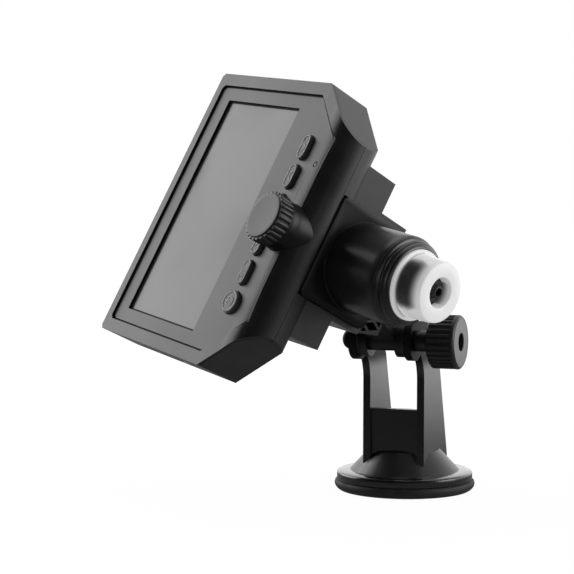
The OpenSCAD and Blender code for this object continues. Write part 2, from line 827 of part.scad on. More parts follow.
module image_sensor() {
    color([0.15, 0.15, 0.18]) device() barrel() translate([-3.5, -3.5, sensor_s]) cube([7, 7, 1.4]);
}

led_board_s = barrel_l + 0.5;
led_circle = (lens_r + cap_rim_r - 2.6) / 2 + 0.15;

module led_board() {
    color([0.9, 0.9, 0.88]) device() barrel() translate([0, 0, led_board_s]) difference() {
        cylinder(r = cap_rim_r - 2.6, h = 1.2);
        translate([0, 0, -1]) cylinder(r = lens_r + 0.5, h = 4);
    }
}

module light_leds() {
    color([1, 0.95, 0.6]) device() barrel() for (i = [0:7]) rotate(i * 45 + 22.5)
        translate([led_circle, 0, led_board_s + 1.2]) cylinder(r = 1.3, h = 1.5);
}

module clear_cap() {
    h = cap_l;
    color([0.85, 0.88, 0.9]) device() barrel() translate([0, 0, barrel_l + ring_l - 1.5])
        rotate_extrude() polygon([
            [cap_rim_r - cap_wall - 1, 0], [cap_rim_r, 0], [cap_rim_r, cap_rim_l],
            [cap_rim_r - 0.5, cap_rim_l + 0.4], [cap_r, cap_rim_l + 1.2], [cap_r, h + 0.9],
            [cap_r - 0.6, h + 1.5], [cap_hole, h + 1.5], [cap_hole, h + 1.5 - sleeve_l],
            [cap_hole + 1, h + 1.5 - sleeve_l], [cap_hole + 1, h],
            [cap_r - cap_wall, h - 1], [cap_r - cap_wall, cap_rim_l],
            [cap_rim_r - cap_wall - 1, cap_rim_l - 0.6]]);
}

// ---------- mounting head ----------
head_screw_at = [[-14, -head_high - 3], [4, -head_high - 3]];
hub_half = arm_gap / 2 - washer_t - 0.05;
lug_half = hub_half - collar_l;

module rib(a, b, t) {
    d = b - a;
    l = norm(d);
    translate(a) rotate(atan2(d[1], d[0])) translate([0, -t / 2]) square([l, t]);
}

module head_2d() {
    // x across, z up: walls and bays of crossed ribs
    x0 = -head_left;
    x1 = head_right;
    z0 = -block_z - head_t;
    z1 = -block_z;
    n = head_bays;
    bay = (x1 - x0) / n;
    difference() {
        polygon([[x0, z1], [x1, z1], [x1 - 3, z0], [x0 + 3, z0]]);
        polygon([[x0 + 1.2 * rib_t, z1 - rib_t], [x1 - 1.2 * rib_t, z1 - rib_t],
            [x1 - 3 - 0.9 * rib_t, z0 + rib_t], [x0 + 3 + 0.9 * rib_t, z0 + rib_t]]);
    }
    intersection() {
        polygon([[x0, z1], [x1, z1], [x1 - 3, z0], [x0 + 3, z0]]);
        for (i = [0:n - 1]) {
            rib([x0 + i * bay, z1], [x0 + (i + 1) * bay, z0], rib_t);
            rib([x0 + i * bay, z0], [x0 + (i + 1) * bay, z1], rib_t);
        }
    }
}

module head_body() {
    // ribs open downwards, closed by a plate above
    translate([0, -head_high, 0]) rotate([90, 0, 0]) linear_extrude(head_low - head_high) head_2d();
    translate([0, -head_high, 0]) rotate([90, 0, 0]) linear_extrude(6) polygon([
        [-head_left, -block_z], [head_right, -block_z], [head_right - 3, -block_z - head_t],
        [3 - head_left, -block_z - head_t]]);
}

// lug between the head's rear wall and the hub, drawn as Y across and Z up
module lug_2d() {
    polygon([[-hub_y - hub_r, hub_z], [-hub_y + 2.2, hub_z + 3.4], [-hub_y - 12, hub_z + 24],
        [-hub_y - 24, hub_z + 12]]);
}

module mount_head() {
    color(black) difference() {
        union() {
            on_axis() {
                translate([0, 0, -hub_half]) cylinder(r = hub_r, h = 2 * hub_half);
                for (s = [-1, 1]) translate([0, 0, s * (lug_half + collar_l / 2) - collar_l / 2])
                    cylinder(r = collar_r, h = collar_l);
            }
            difference() {
                along_x(2 * lug_half) lug_2d();
                device() translate([-100, -100, -block_z - head_t + 0.4]) cube([200, 200, 200]);
            }
            device() head_body();
        }
        on_axis() translate([0, 0, -20]) cylinder(r = bolt_r + bolt_gap, h = 40);
        device() for (p = head_screw_at) translate([p[0], p[1], -block_z - 20])
            cylinder(r = 1.3, h = 30);
    }
}

module head_screws() {
    color("silver") device() for (p = head_screw_at) translate([p[0], p[1], -block_z - head_t - 1.2]) {
        cylinder(r = 1.25, h = head_t + 3);
        cylinder(r = 2.4, h = 1.2);
    }
}

// ---------- stand ----------
disc_z = cup_t;
cone_z = disc_z + disc_t;
floor_t = 2.4;
stem_r = 2.6;
cam_e = 1.4;                            // throw of the lever's cam
cam_r = 5;
ring_gap = 0.35;
ring_t = 4.6;
foot_r = 5;

module suction_cup() {
    color([0.13, 0.13, 0.13]) rotate_extrude() difference() {
        polygon([[foot_r + 0.35, 2.2], [12, 2.1], [20, 1.3], [24.5, 0.3], [25.2, 0],
            [cup_r - 2.6, 0], [cup_r - 1.1, 0.6], [cup_r - 0.2, 1.8], [cup_r, 2.6],
            [cup_r - 0.1, 3.4], [cup_r - 0.5, cup_t], [foot_r + 0.35, cup_t]]);
        translate([disc_r - 0.1, cup_t - 0.35]) square([0.6, 1]);
    }
}

module base_disc() {
    color([0.06, 0.06, 0.06]) difference() {
        rotate_extrude() polygon([[stem_r + 0.3, disc_z], [disc_r - 0.4, disc_z],
            [disc_r, disc_z + 0.4], [disc_r, disc_z + disc_t - 1], [disc_r - 0.7, disc_z + disc_t - 0.5],
            [cone_r + 1, disc_z + disc_t], [stem_r + 0.3, disc_z + disc_t]]);
        for (i = [0:2]) rotate(i * 120 + 30) translate([16, 0, disc_z - 1]) {
            cylinder(r = 1.3, h = disc_t + 3);
            cylinder(r = 2.7, h = 2.6);
        }
    }
}

module base_screws() {
    color("silver") for (i = [0:2]) rotate(i * 120 + 30) translate([16, 0, disc_z + 0.2]) {
        cylinder(r = 2.5, h = 1.4);
        cylinder(r = 1.25, h = disc_t + 1.4);
    }
}

pin_end = arm_gap / 2 + arm_t;          // the pin's hole starts here, on the left arm's outside
pin_cover = 1.2;                        // wall that closes the hole in the right arm

module arm_2d() {
    r = 14;                             // hollow under the arm's forward bend
    bend_z = hub_z - 16.5;
    difference() {
        polygon([[-arm_front - 0.3, cone_z + 1], [1.2 - arm_front, bend_z], [-hub_y, bend_z + 11],
            [-hub_y, hub_z + arm_boss_r], [-10, hub_z + 7], [-1, hub_z + 1], [5.4, hub_z - 7.9],
            [16.7, 14], [17.5, cone_z + 1]]);
        translate([-arm_front - r, bend_z]) circle(r);
    }
    translate([-hub_y, hub_z]) circle(arm_boss_r);
}

module stand_yoke() {
    color([0.16, 0.16, 0.17]) {
        yoke_body();
        base_posts();
    }
}

module yoke_body() {
    half = arm_gap / 2;
    difference() {
        union() {
            for (s = [-1, 1]) translate([s * (half + arm_t / 2), 0, 0]) along_x(arm_t) arm_2d();
            // web across the front, sides of the lever's well
            box3(-half - 1, half + 1, 1.5 - arm_front, 4 - arm_front, cone_z + 2, web_top);
            translate([0, 0, cone_z]) cylinder(r1 = cone_r, r2 = cone_top_r, h = cone_h);
        }
        translate([0, 0, cone_z - eps]) cylinder(r1 = cone_r - 3, r2 = cone_top_r - 3,
            h = cone_h - floor_t + eps);
        // slot for the cam ring
        box3(-ring_t / 2 - 0.3, ring_t / 2 + 0.3, -8.5, 8.5, cone_z + 1, cone_z + cone_h + 4);
        // nothing of the cone stands between the arms' lower edges and the lever
        box3(-half + 0.01, half - 0.01, 4 - arm_front, 14, cone_z + cone_h - 0.6, 40);
        on_axis() translate([0, 0, -30]) cylinder(r = bolt_r + bolt_gap, h = 60);
        translate([-pin_end, 0, pin_z]) rotate([0, 90, 0]) translate([0, 0, -10])
            cylinder(r = 1.55, h = 2 * pin_end + 10 - pin_cover);
    }
}

// posts for the base disc's screws
module base_posts() {
    intersection() {
        for (i = [0:2]) rotate(i * 120 + 30) translate([16, 0, cone_z]) difference() {
            cylinder(r = 3.4, h = 6);
            translate([0, 0, -1]) cylinder(r = 1.3, h = 4);
        }
        translate([0, 0, cone_z]) cylinder(r1 = cone_r - 1, r2 = cone_top_r - 1, h = cone_h);
    }
}

module cup_stem() {
    color("silver") {
        rotate_extrude() polygon([[0, 2.4], [foot_r, 2.4], [foot_r, cup_t - 0.2],
            [stem_r, cup_t - 0.1], [stem_r, pin_z - 9], [0, pin_z - 9]]);
        difference() {
            translate([-ring_t / 2, 0, pin_z + cam_e]) rotate([0, 90, 0])
                cylinder(r = cam_r + 2.9, h = ring_t);
            // slot that lets the cam swing forwards
            for (y = [0, -cam_e]) translate([-ring_t, y, pin_z + cam_e]) rotate([0, 90, 0])
                cylinder(r = cam_r + ring_gap, h = 2 * ring_t);
            box3(-ring_t, ring_t, -cam_e, 0, pin_z + cam_e - cam_r - ring_gap,
                pin_z + cam_e + cam_r + ring_gap);
        }
        translate([-ring_t / 2, -stem_r, pin_z - 9.5]) cube([ring_t, 2 * stem_r, 4]);
    }
}

module cam_lever() {
    cheek = 3.2;
    w = 7.4;
    color([0.08, 0.08, 0.08]) difference() {
        union() {
            translate([0, 0, pin_z]) rotate([0, 90, 0]) {
                for (s = [-1, 1]) translate([0, 0, s * (cheek + w) / 2 - (w - cheek) / 2])
                    cylinder(r = 6.4, h = w - cheek);
            }
            translate([-cheek - eps, 0, pin_z + cam_e]) rotate([0, 90, 0])
                cylinder(r = cam_r, h = 2 * cheek + 2 * eps);
            // handle
            for (s = [-1, 1]) translate([s * (cheek + w) / 2, 0, 0]) along_x(w - cheek)
                polygon([[0, pin_z + 6.4], [12, pin_z + 3.6], [12, pin_z - 2.4], [0, pin_z - 6.4]]);
            along_x(2 * w) polygon([[10.5, pin_z + 4], [24, pin_z + 0.5], [31, pin_z + 1.5],
                [31, pin_z - 1], [24, pin_z - 2.6], [10.5, pin_z - 1.8]]);
        }
        translate([-30, 0, pin_z]) rotate([0, 90, 0]) cylinder(r = 1.6, h = 60);
    }
}

module lever_pin() {
    color("silver") translate([-pin_end, 0, pin_z]) rotate([0, 90, 0])
        cylinder(r = 1.5, h = 2 * pin_end - pin_cover - 0.05);
}

// ---------- clamp ----------
bolt_start = -arm_gap / 2 - arm_t - 3;
neck_start = arm_gap / 2 + arm_t + 0.1;
clamp_start = neck_start + neck_l;

module clamp_bolt() {
    color("silver") on_axis() translate([0, 0, bolt_start])
        cylinder(r = bolt_r, h = clamp_start + clamp_l - 3 - bolt_start);
}

module dome_nut() {
    start = -arm_gap / 2 - arm_t;
    color(black) on_axis() difference() {
        union() {
            translate([0, 0, start - 2.6]) cylinder(r = 3.9, h = 2.6);
            translate([0, 0, start - 4.6]) cylinder(r1 = 2.2, r2 = 3.9, h = 2.05);
        }
        translate([0, 0, start - 3]) cylinder(r = bolt_r, h = 5);
    }
}

module friction_washers() {
    color([0.5, 0.5, 0.5]) on_axis() for (s = [-1, 1])
        translate([0, 0, s * (arm_gap / 2 - washer_t / 2) - washer_t / 2]) difference() {
            cylinder(r = collar_r + 0.3, h = washer_t);
            translate([0, 0, -1]) cylinder(r = bolt_r + bolt_gap, h = 3);
        }
}

insert_r = 3.5;

module clamp_knob() {
    color(black) on_axis() difference() {
        union() {
            translate([0, 0, neck_start]) cylinder(r = neck_r, h = neck_l + 0.1);
            translate([0, 0, clamp_start]) cylinder(r1 = clamp_r - 1.6, r2 = clamp_r - 0.2, h = 1);
            translate([0, 0, clamp_start + 1 - eps]) linear_extrude(clamp_l - 2 + 2 * eps)
                ribbed_2d(clamp_r, 30, 0.6);
            translate([0, 0, clamp_start + clamp_l - 1])
                cylinder(r1 = clamp_r + 0.1, r2 = clamp_r - 0.9, h = 1);
        }
        translate([0, 0, neck_start - 1]) cylinder(r = bolt_r + bolt_gap, h = 60);
        translate([0, 0, clamp_start + 1]) cylinder(r = insert_r, h = 60);
    }
}

module knob_insert() {
    color("silver") on_axis() translate([0, 0, clamp_start + 1]) difference() {
        cylinder(r = insert_r, h = clamp_l - 2.6);
        translate([0, 0, -1]) cylinder(r = bolt_r + 0.05, h = 20);
    }
}

front_bezel();
rear_shell();
battery_cover();
battery_cell();
battery_contacts();
lcd_window();
lcd_panel();
lcd_flex();
main_board();
board_chips();
key_board();
key_switches();
power_button();
menu_button();
down_button();
mode_button();
up_button();
ok_button();
status_led();
focus_knob();
focus_shaft();
focus_pinion();
shaft_bush();
barrel_housing();
end_ring();
lens_carriage();
lens_tube();
lens_glass();
sensor_board();
image_sensor();
led_board();
light_leds();
clear_cap();
usb_socket();
card_socket();
case_screws();
seat_screws();
mount_head();
head_screws();
suction_cup();
base_disc();
base_screws();
stand_yoke();
cup_stem();
cam_lever();
lever_pin();
clamp_bolt();
dome_nut();
friction_washers();
clamp_knob();
knob_insert();
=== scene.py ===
import logging
import math
from collections.abc import Callable, Iterable, Sequence
from dataclasses import dataclass, field
from enum import Enum

import bmesh
import bpy
from mathutils import Matrix, Vector


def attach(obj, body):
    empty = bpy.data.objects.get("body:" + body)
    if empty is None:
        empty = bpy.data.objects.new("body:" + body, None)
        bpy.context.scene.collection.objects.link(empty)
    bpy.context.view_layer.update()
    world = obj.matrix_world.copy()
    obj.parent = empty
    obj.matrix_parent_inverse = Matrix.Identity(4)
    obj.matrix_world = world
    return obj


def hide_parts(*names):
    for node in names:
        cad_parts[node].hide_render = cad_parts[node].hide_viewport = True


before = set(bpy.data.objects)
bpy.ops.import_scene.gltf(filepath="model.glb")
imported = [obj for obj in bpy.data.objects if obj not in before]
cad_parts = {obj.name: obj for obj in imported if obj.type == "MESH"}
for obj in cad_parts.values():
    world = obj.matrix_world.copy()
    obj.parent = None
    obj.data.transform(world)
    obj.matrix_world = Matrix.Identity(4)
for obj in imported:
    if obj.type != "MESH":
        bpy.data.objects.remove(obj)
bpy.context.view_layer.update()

log = logging.getLogger("microscope")

MM = 0.001
Point2 = tuple[float, float]
Colour = tuple[float, float, float]
# Two places, in metres or as a part of a direction, and the strengths that they become.
Span = tuple[float, float, float, float]


# ---------------------------------------------------------------- frames


def turn(angle: float, axis: str) -> Matrix:
    """A turn of angle degrees about a named axis."""
    return Matrix.Rotation(math.radians(angle), 4, axis)


def shift(x: float, y: float, z: float) -> Matrix:
    """A move by x, y and z."""
    return Matrix.Translation((x, y, z))


@dataclass(frozen=True)
class Stance:
    """How the display unit is held, in millimetres and degrees."""

    hub: tuple[float, float, float] = (0.0, -24.2, 63.5)
    pose: tuple[float, float, float] = (15.3, -63.0, 42.6)
    pivot: tuple[float, float, float] = (-17.3, -49.0, -70.5)
    barrel_zero: tuple[float, float, float] = (0.0, -62.0, -33.0)
    barrel_lean: float = 11.0

    def world(self) -> Matrix:
        """Millimetres in the row frame to metres."""
        return Matrix.Scale(MM, 4)

    def device(self) -> Matrix:
        """The display unit's own frame: x right, y up the screen, z out of it."""
        a, b, c = self.pose
        return (self.world() @ shift(*self.hub) @ turn(c, "Z") @ turn(b, "Y") @ turn(a, "X")
                @ shift(*(-v for v in self.pivot)))

    def barrel(self) -> Matrix:
        """The barrel's frame: z along its axis, away from the display."""
        return self.device() @ shift(*self.barrel_zero) @ turn(90 + self.barrel_lean, "X")

    def axle(self) -> Matrix:
        """The tilt axle's frame: z along the axle, towards the clamp knob."""
        return self.world() @ shift(*self.hub) @ turn(90, "Y")


STANCE = Stance()


class Body(Enum):
    """The rigid bodies of the part."""

    STAND = "stand"
    CLAMP = "clamp"
    LEVER = "lever"
    FOCUS = "focus"
    CARRIAGE = "carriage"
    COVER = "cover"
    DISPLAY = "display"


# ---------------------------------------------------------------- shader nodes


class Signal:
    """One node output, with the usual sums written on it."""

    def __init__(self, graph: "Graph", socket: bpy.types.NodeSocket) -> None:
        """Keeps the graph that the sums are added to, and the socket."""
        self.graph = graph
        self.socket = socket

    def _sum(self, operation: str, left: "Signal | float", right: "Signal | float") -> "Signal":
        """Adds a Math node.

        Args:
            operation: The node's operation.
            left: Its first value.
            right: Its second value.

        Returns:
            The node's result.
        """
        return self.graph.node("ShaderNodeMath", {"operation": operation}, {0: left, 1: right})

    def __add__(self, other: "Signal | float") -> "Signal":
        """self + other."""
        return self._sum("ADD", self, other)

    def __radd__(self, other: float) -> "Signal":
        """other + self."""
        return self._sum("ADD", other, self)

    def __sub__(self, other: "Signal | float") -> "Signal":
        """self - other."""
        return self._sum("SUBTRACT", self, other)

    def __rsub__(self, other: float) -> "Signal":
        """other - self."""
        return self._sum("SUBTRACT", other, self)

    def __mul__(self, other: "Signal | float") -> "Signal":
        """self * other."""
        return self._sum("MULTIPLY", self, other)

    def __rmul__(self, other: float) -> "Signal":
        """other * self."""
        return self._sum("MULTIPLY", other, self)

    def above(self, limit: "Signal | float") -> "Signal":
        """1 where self is greater than limit, else 0."""
        return self._sum("GREATER_THAN", self, limit)

    def below(self, limit: "Signal | float") -> "Signal":
        """1 where self is less than limit, else 0."""
        return self._sum("LESS_THAN", self, limit)

    def fraction(self) -> "Signal":
        """What is left of self over whole numbers."""
        return self._sum("FRACT", self, 0.0)

    def span(self, low: float, high: float, to_low: float = 0.0, to_high: float = 1.0) -> "Signal":
        """self taken smoothly from one range to another, and held at its ends.

        Args:
            low: Where the first range starts.
            high: Where it ends.
            to_low: What low becomes.
            to_high: What high becomes.

        Returns:
            The new value.
        """
        return self.graph.node(
            "ShaderNodeMapRange", {"interpolation_type": "SMOOTHSTEP"},
            {0: self, 1: low, 2: high, 3: to_low, 4: to_high})


class Graph:
    """A node tree that is filled from code."""

    def __init__(self, tree: bpy.types.NodeTree) -> None:
        """Starts from an empty tree."""
        self.tree = tree
        tree.nodes.clear()

    def node(self, kind: str, settings: dict | None = None, inputs: dict | None = None,
             output: int | str = 0) -> Signal:
        """Adds a node.

        Args:
            kind: The node's type.
            settings: Its settings, by name.
            inputs: Values or signals for its sockets, by name or place.
            output: The socket that is handed back.

        Returns:
            The chosen output.
        """
        made = self.tree.nodes.new(kind)
        for key, value in (settings or {}).items():
            setattr(made, key, value)
        for key, value in (inputs or {}).items():
            if isinstance(value, Signal):
                self.tree.links.new(value.socket, made.inputs[key])
            elif isinstance(value, tuple) and len(value) == 3 \
                    and len(made.inputs[key].default_value) == 4:
                made.inputs[key].default_value = (*value, 1.0)
            else:
                made.inputs[key].default_value = value
        return Signal(self, made.outputs[output])

    def place(self) -> Signal:
        """The point's place in the row frame, in metres."""
        return self.node("ShaderNodeTexCoord", output="Object")

    def axes(self, vector: Signal) -> tuple[Signal, Signal, Signal]:
        """The three parts of a vector.

        Args:
            vector: The vector.

        Returns:
            Its x, y and z.
        """
        made = self.node("ShaderNodeSeparateXYZ", inputs={0: vector})
        outputs = made.socket.node.outputs
        return made, Signal(self, outputs[1]), Signal(self, outputs[2])

    def local(self, where: Matrix) -> Signal:
        """The point's place in a frame of the object, in millimetres.

        Args:
            where: The frame.

        Returns:
            The place in it.
        """
        spot, turned, size = where.inverted().decompose()
        return self.node("ShaderNodeMapping", inputs={
            "Vector": self.place(), "Location": spot, "Rotation": turned.to_euler("XYZ"),
            "Scale": size})

    def noise(self, vector: Signal, scale: float, detail: float = 2.0,
              roughness: float = 0.5) -> Signal:
        """A smooth noise between 0 and 1."""
        return self.node("ShaderNodeTexNoise", inputs={
            "Vector": vector, "Scale": scale, "Detail": detail, "Roughness": roughness})

    def rays(self, *kinds: str) -> list[Signal]:
        """For each kind of ray, a signal that is 1 for rays of it."""
        outputs = self.node("ShaderNodeLightPath").socket.node.outputs
        return [Signal(self, outputs[f"Is {kind} Ray"]) for kind in kinds]

    def blend(self, amount: "Signal | float", first: "Signal | Colour",
              second: "Signal | Colour") -> Signal:
        """first turning to second as amount goes from 0 to 1, for colours."""
        return self.node("ShaderNodeMix", {"data_type": "RGBA"},
                         {0: amount, 6: first, 7: second}, output=2)

    def bump(self, height: Signal, depth: float, strength: float = 1.0) -> Signal:
        """A normal from a height that counts as depth metres."""
        return self.node("ShaderNodeBump", inputs={
            "Height": height, "Distance": depth, "Strength": strength})

    def surface(self, **sockets: "Signal | float | Colour") -> Signal:
        """A Principled surface; names use _ for a space."""
        names = {key.replace("_", " "): value for key, value in sockets.items()}
        return self.node("ShaderNodeBsdfPrincipled", inputs=names)

    def finish(self, shader: Signal, kind: str = "ShaderNodeOutputMaterial") -> None:
        """Leads a shader to the output."""
        made = self.tree.nodes.new(kind)
        self.tree.links.new(shader.socket, made.inputs["Surface"])


# ---------------------------------------------------------------- finishes


@dataclass(frozen=True)
class Finish:
    """A finish that any piece can wear."""

    name: str

    def shade(self, g: Graph) -> Signal:
        """The finish's surface, drawn in graph g."""
        raise NotImplementedError

    def material(self) -> bpy.types.Material:
        """The finish as a material, made once.

        Returns:
            The material.
        """
        found = bpy.data.materials.get(self.name)
        if found is None:
            found = bpy.data.materials.new(self.name)
            found.use_nodes = True
            graph = Graph(found.node_tree)
            graph.finish(self.shade(graph))
        return found


@dataclass(frozen=True)
class Moulded(Finish):
    """Moulded plastic with a fine spark-eroded grain."""

    dark: Colour = (0.020, 0.020, 0.022)
    light: Colour = (0.030, 0.030, 0.032)
    roughness: float = 0.42
    grain: float = 2600.0
    depth: float = 0.00003
    coat: float = 0.0
    specular: float = 0.5

    def shade(self, g: Graph) -> Signal:
        """Soft mottling in colour and gloss over a fine grain.

        Args:
            g: The graph that it is drawn in.

        Returns:
            The surface.
        """
        cloud, rough, normal = self.skin(g)
        return g.surface(
            Base_Color=g.blend(cloud, self.dark, self.light), Roughness=rough, Normal=normal,
            Specular_IOR_Level=self.specular, Coat_Weight=self.coat, Coat_Roughness=0.12)

    def skin(self, g: Graph) -> tuple[Signal, Signal, Signal]:
        """What the moulded finishes share.

        Args:
            g: The graph that it is drawn in.

        Returns:
            The mottling from 0 to 1, the roughness and the normal.
        """
        place = g.place()
        cloud = g.noise(place, 60.0, 3.0)
        grain = g.noise(place, self.grain, 2.0, 0.6)
        rough = self.roughness + (cloud - 0.5) * 0.10 + (grain - 0.5) * 0.10
        return cloud.span(0.3, 0.7), rough, g.bump(grain, self.depth, 0.6)


@dataclass(frozen=True)
class Fronted(Moulded):
    """The bezel's plastic: a lighter rim, and grooves painted dark as painted shade."""

    rim_dark: Colour = (0.026, 0.026, 0.027)
    rim_light: Colour = (0.036, 0.036, 0.037)
    groove_shade: Colour = (0.006, 0.006, 0.006)
    rim_z: float = -0.25
    groove_z: float = -1.0
    groove_floor: float = -3.4
    level_y: float = -42.5

    def shade(self, g: Graph) -> Signal:
        """Rim, panel and grooves told apart by their height on the display.

        Args:
            g: The graph that it is drawn in.

        Returns:
            The surface.
        """
        _, y, z = g.axes(g.local(STANCE.device()))
        cloud, rough, normal = self.skin(g)
        level = y.span(self.level_y - 0.5, self.level_y + 0.5)
        raised = z.span(self.rim_z - 0.2, self.rim_z + 0.2) * level
        # painted shade: the grooves and the recess walls below the panel are painted dark and made
        # rougher
        sunk_shade = (1 - z.span(self.groove_z - 0.25, self.groove_z - 0.05)) * level
        sunk_shade = sunk_shade * z.above(self.groove_floor)
        body = g.blend(cloud, self.dark, self.light)
        rim = g.blend(cloud, self.rim_dark, self.rim_light)
        return g.surface(
            Base_Color=g.blend(sunk_shade, g.blend(raised, body, rim), self.groove_shade),
            Roughness=rough + sunk_shade * 0.4, Specular_IOR_Level=self.specular, Normal=normal)


@dataclass(frozen=True)
class Sheltered(Moulded):
    """The stand's plastic, which turns duller and far less reflective towards the ears at its top:
    painted shade from the display unit over them.
    """

    ear_low: float = 50.0
    ear_high: float = 56.0
    shade_specular: float = 0.12

    def shade(self, g: Graph) -> Signal:
        """The moulded finish, blended by height into a dull, weakly reflecting copy that paints the
        ears' shade.

        Args:
            g: The graph that it is drawn in.

        Returns:
            The surface.
        """
        _, _, height = g.axes(g.local(STANCE.world()))
        glossy = super().shade(g)
        grain = g.noise(g.place(), self.grain, 2.0, 0.6)
        # painted shade: a dull, weakly reflecting copy of the finish for the ears under the display
        # unit
        dull = g.surface(
            Base_Color=g.blend(grain, self.dark, self.light), Roughness=0.5 + grain * 0.1,
            Specular_IOR_Level=self.shade_specular, Normal=g.bump(grain, self.depth, 0.6))
        return g.node("ShaderNodeMixShader", inputs={
            0: height.span(self.ear_low, self.ear_high), 1: glossy, 2: dull})


@dataclass(frozen=True)
class Clear(Finish):
    """Clear polished plastic or glass."""

    colour: Colour = (1.0, 1.0, 1.0)
    ior: float = 1.49

    def shade(self, g: Graph) -> Signal:
        """Clear body with faint flow lines and finger marks.

        Args:
            g: The graph that it is drawn in.

        Returns:
            The surface.
        """
        place = g.place()
        haze = g.noise(place, 90.0, 4.0, 0.6).span(0.5, 0.8)
        return g.surface(
            Base_Color=g.blend(haze, self.colour, tuple(v * 0.97 for v in self.colour)),
            Roughness=0.02 + haze * 0.05, IOR=self.ior, Transmission_Weight=1.0,
            Normal=g.bump(g.noise(place, 240.0, 1.0), 0.00004, 0.25))


@dataclass(frozen=True)
class Frosted(Finish):
    """The contact cap: clear, with its shaded inside painted dark into the clear part's colour;
    milky at its rim and towards its front, with a painted glow and painted whitening at grazing
    angles.
    """

    rim_end: float = 31.9
    fade_start: float = 36.4
    front_start: float = 42.6
    grazing_sheen_start: float = 0.34
    grazing_sheen_full: float = 0.58
    ior: float = 1.46
    # painted light: the milky plastic glows, though nothing lights it
    glow: float = 0.22
    # painted shade: the dark inside, seen through the clear wall, painted into its colour
    depth: Colour = (0.014, 0.014, 0.014)

    def shade(self, g: Graph) -> Signal:
        """Clear and milky plastic, blended along the barrel's axis, and painted white at grazing
        angles as a painted sheen.

        Args:
            g: The graph that it is drawn in.

        Returns:
            The surface.
        """
        _, _, along = g.axes(g.local(STANCE.barrel()))
        rim = 1 - along.span(self.rim_end - 0.3, self.rim_end + 0.5)
        # painted sheen: the plastic turns milky white where it is seen at grazing angles
        side = g.node("ShaderNodeLayerWeight", inputs={"Blend": 0.5}, output="Facing")
        milky = (rim + along.span(self.fade_start, self.front_start)
                 + side.span(self.grazing_sheen_start, self.grazing_sheen_full))
        milky = g.node("ShaderNodeClamp", inputs={0: milky})
        milky = milky * milky
        place = g.place()
        flow = g.noise(place, 180.0, 3.0)
        # the clear part's colour paints the shaded inside
        inner = g.blend(flow, self.depth, (0.024, 0.024, 0.024))
        clear = g.surface(
            Base_Color=inner, Roughness=0.16 + flow * 0.08, IOR=self.ior,
            Transmission_Weight=0.15, Coat_Weight=0.5, Coat_Roughness=0.10)
        # the milky part, which carries the painted glow
        white = g.surface(
            Base_Color=g.blend(flow, (0.90, 0.90, 0.90), (0.96, 0.96, 0.96)),
            Roughness=0.22 + flow * 0.10, IOR=self.ior,
            Emission_Color=(1.0, 1.0, 1.0), Emission_Strength=self.glow,
            Normal=g.bump(g.noise(place, 2400.0, 1.0), 0.00002, 0.4))
        return g.node("ShaderNodeMixShader", inputs={0: milky * 0.97 + 0.02, 1: clear, 2: white})


@dataclass(frozen=True)
class Rubber(Finish):
    """Matt moulded rubber."""

    colour: Colour = (0.018, 0.018, 0.018)

    def shade(self, g: Graph) -> Signal:
        """Dusty, slightly bloomed rubber.

        Args:
            g: The graph that it is drawn in.

        Returns:
            The surface.
        """
        place = g.place()
        bloom = g.noise(place, 130.0, 5.0, 0.65).span(0.45, 0.75)
        pores = g.noise(place, 3200.0, 2.0)
        return g.surface(
            Base_Color=g.blend(bloom, self.colour, (0.034, 0.033, 0.032)),
            Roughness=0.62 + bloom * 0.16, Normal=g.bump(pores, 0.00005, 0.6))


@dataclass(frozen=True)
class Metal(Finish):
    """Turned or stamped metal."""

    colour: Colour = (0.60, 0.60, 0.62)
    roughness: float = 0.28

    def shade(self, g: Graph) -> Signal:
        """Fine scratches and a little tarnish.

        Args:
            g: The graph that it is drawn in.

        Returns:
            The surface.
        """
        place = g.place()
        stretched = g.node("ShaderNodeMapping", inputs={
            "Vector": place, "Scale": (300.0, 300.0, 5000.0)})
        streaks = g.noise(stretched, 1.0, 3.0)
        tarnish = g.noise(place, 150.0, 4.0).span(0.5, 0.8)
        dull = tuple(v * 0.72 for v in self.colour)
        return g.surface(
            Base_Color=g.blend(tarnish, self.colour, dull), Metallic=1.0,
            Roughness=self.roughness + streaks * 0.14 + tarnish * 0.1,
            Normal=g.bump(streaks, 0.00002, 0.4))


@dataclass(frozen=True)
class Board(Finish):
    """A circuit board under green solder mask."""

    mask: Colour = (0.010, 0.075, 0.030)

    def shade(self, g: Graph) -> Signal:
        """Tracks that show through the mask, and tinned pads.

        Args:
            g: The graph that it is drawn in.

        Returns:
            The surface.
        """
        place = g.place()
        cells = g.node("ShaderNodeTexVoronoi", {"distance": "MANHATTAN"},
                       {"Vector": place, "Scale": 420.0})
        tracks = (cells * 6.0).fraction().span(0.25, 0.32)
        pads = cells.below(0.09)
        green = g.blend(tracks, self.mask, (0.018, 0.13, 0.05))
        return g.surface(
            Base_Color=g.blend(pads, green, (0.62, 0.60, 0.52)), Metallic=pads * 0.9,
            Roughness=0.32 - pads * 0.08, Normal=g.bump(tracks, 0.00003, 0.7))


@dataclass(frozen=True)
class Moulding(Finish):
    """A plain light or coloured moulding of an inner piece."""

    colour: Colour = (0.5, 0.5, 0.48)
    roughness: float = 0.5

    def shade(self, g: Graph) -> Signal:
        """Faint flow marks in one colour.

        Args:
            g: The graph that it is drawn in.

        Returns:
            The surface.
        """
        flow = g.noise(g.place(), 260.0, 3.0)
        pale = tuple(min(1.0, v * 1.15) for v in self.colour)
        return g.surface(
            Base_Color=g.blend(flow, self.colour, pale),
            Roughness=self.roughness + (flow - 0.5) * 0.12,
            Normal=g.bump(flow, 0.00004, 0.4))


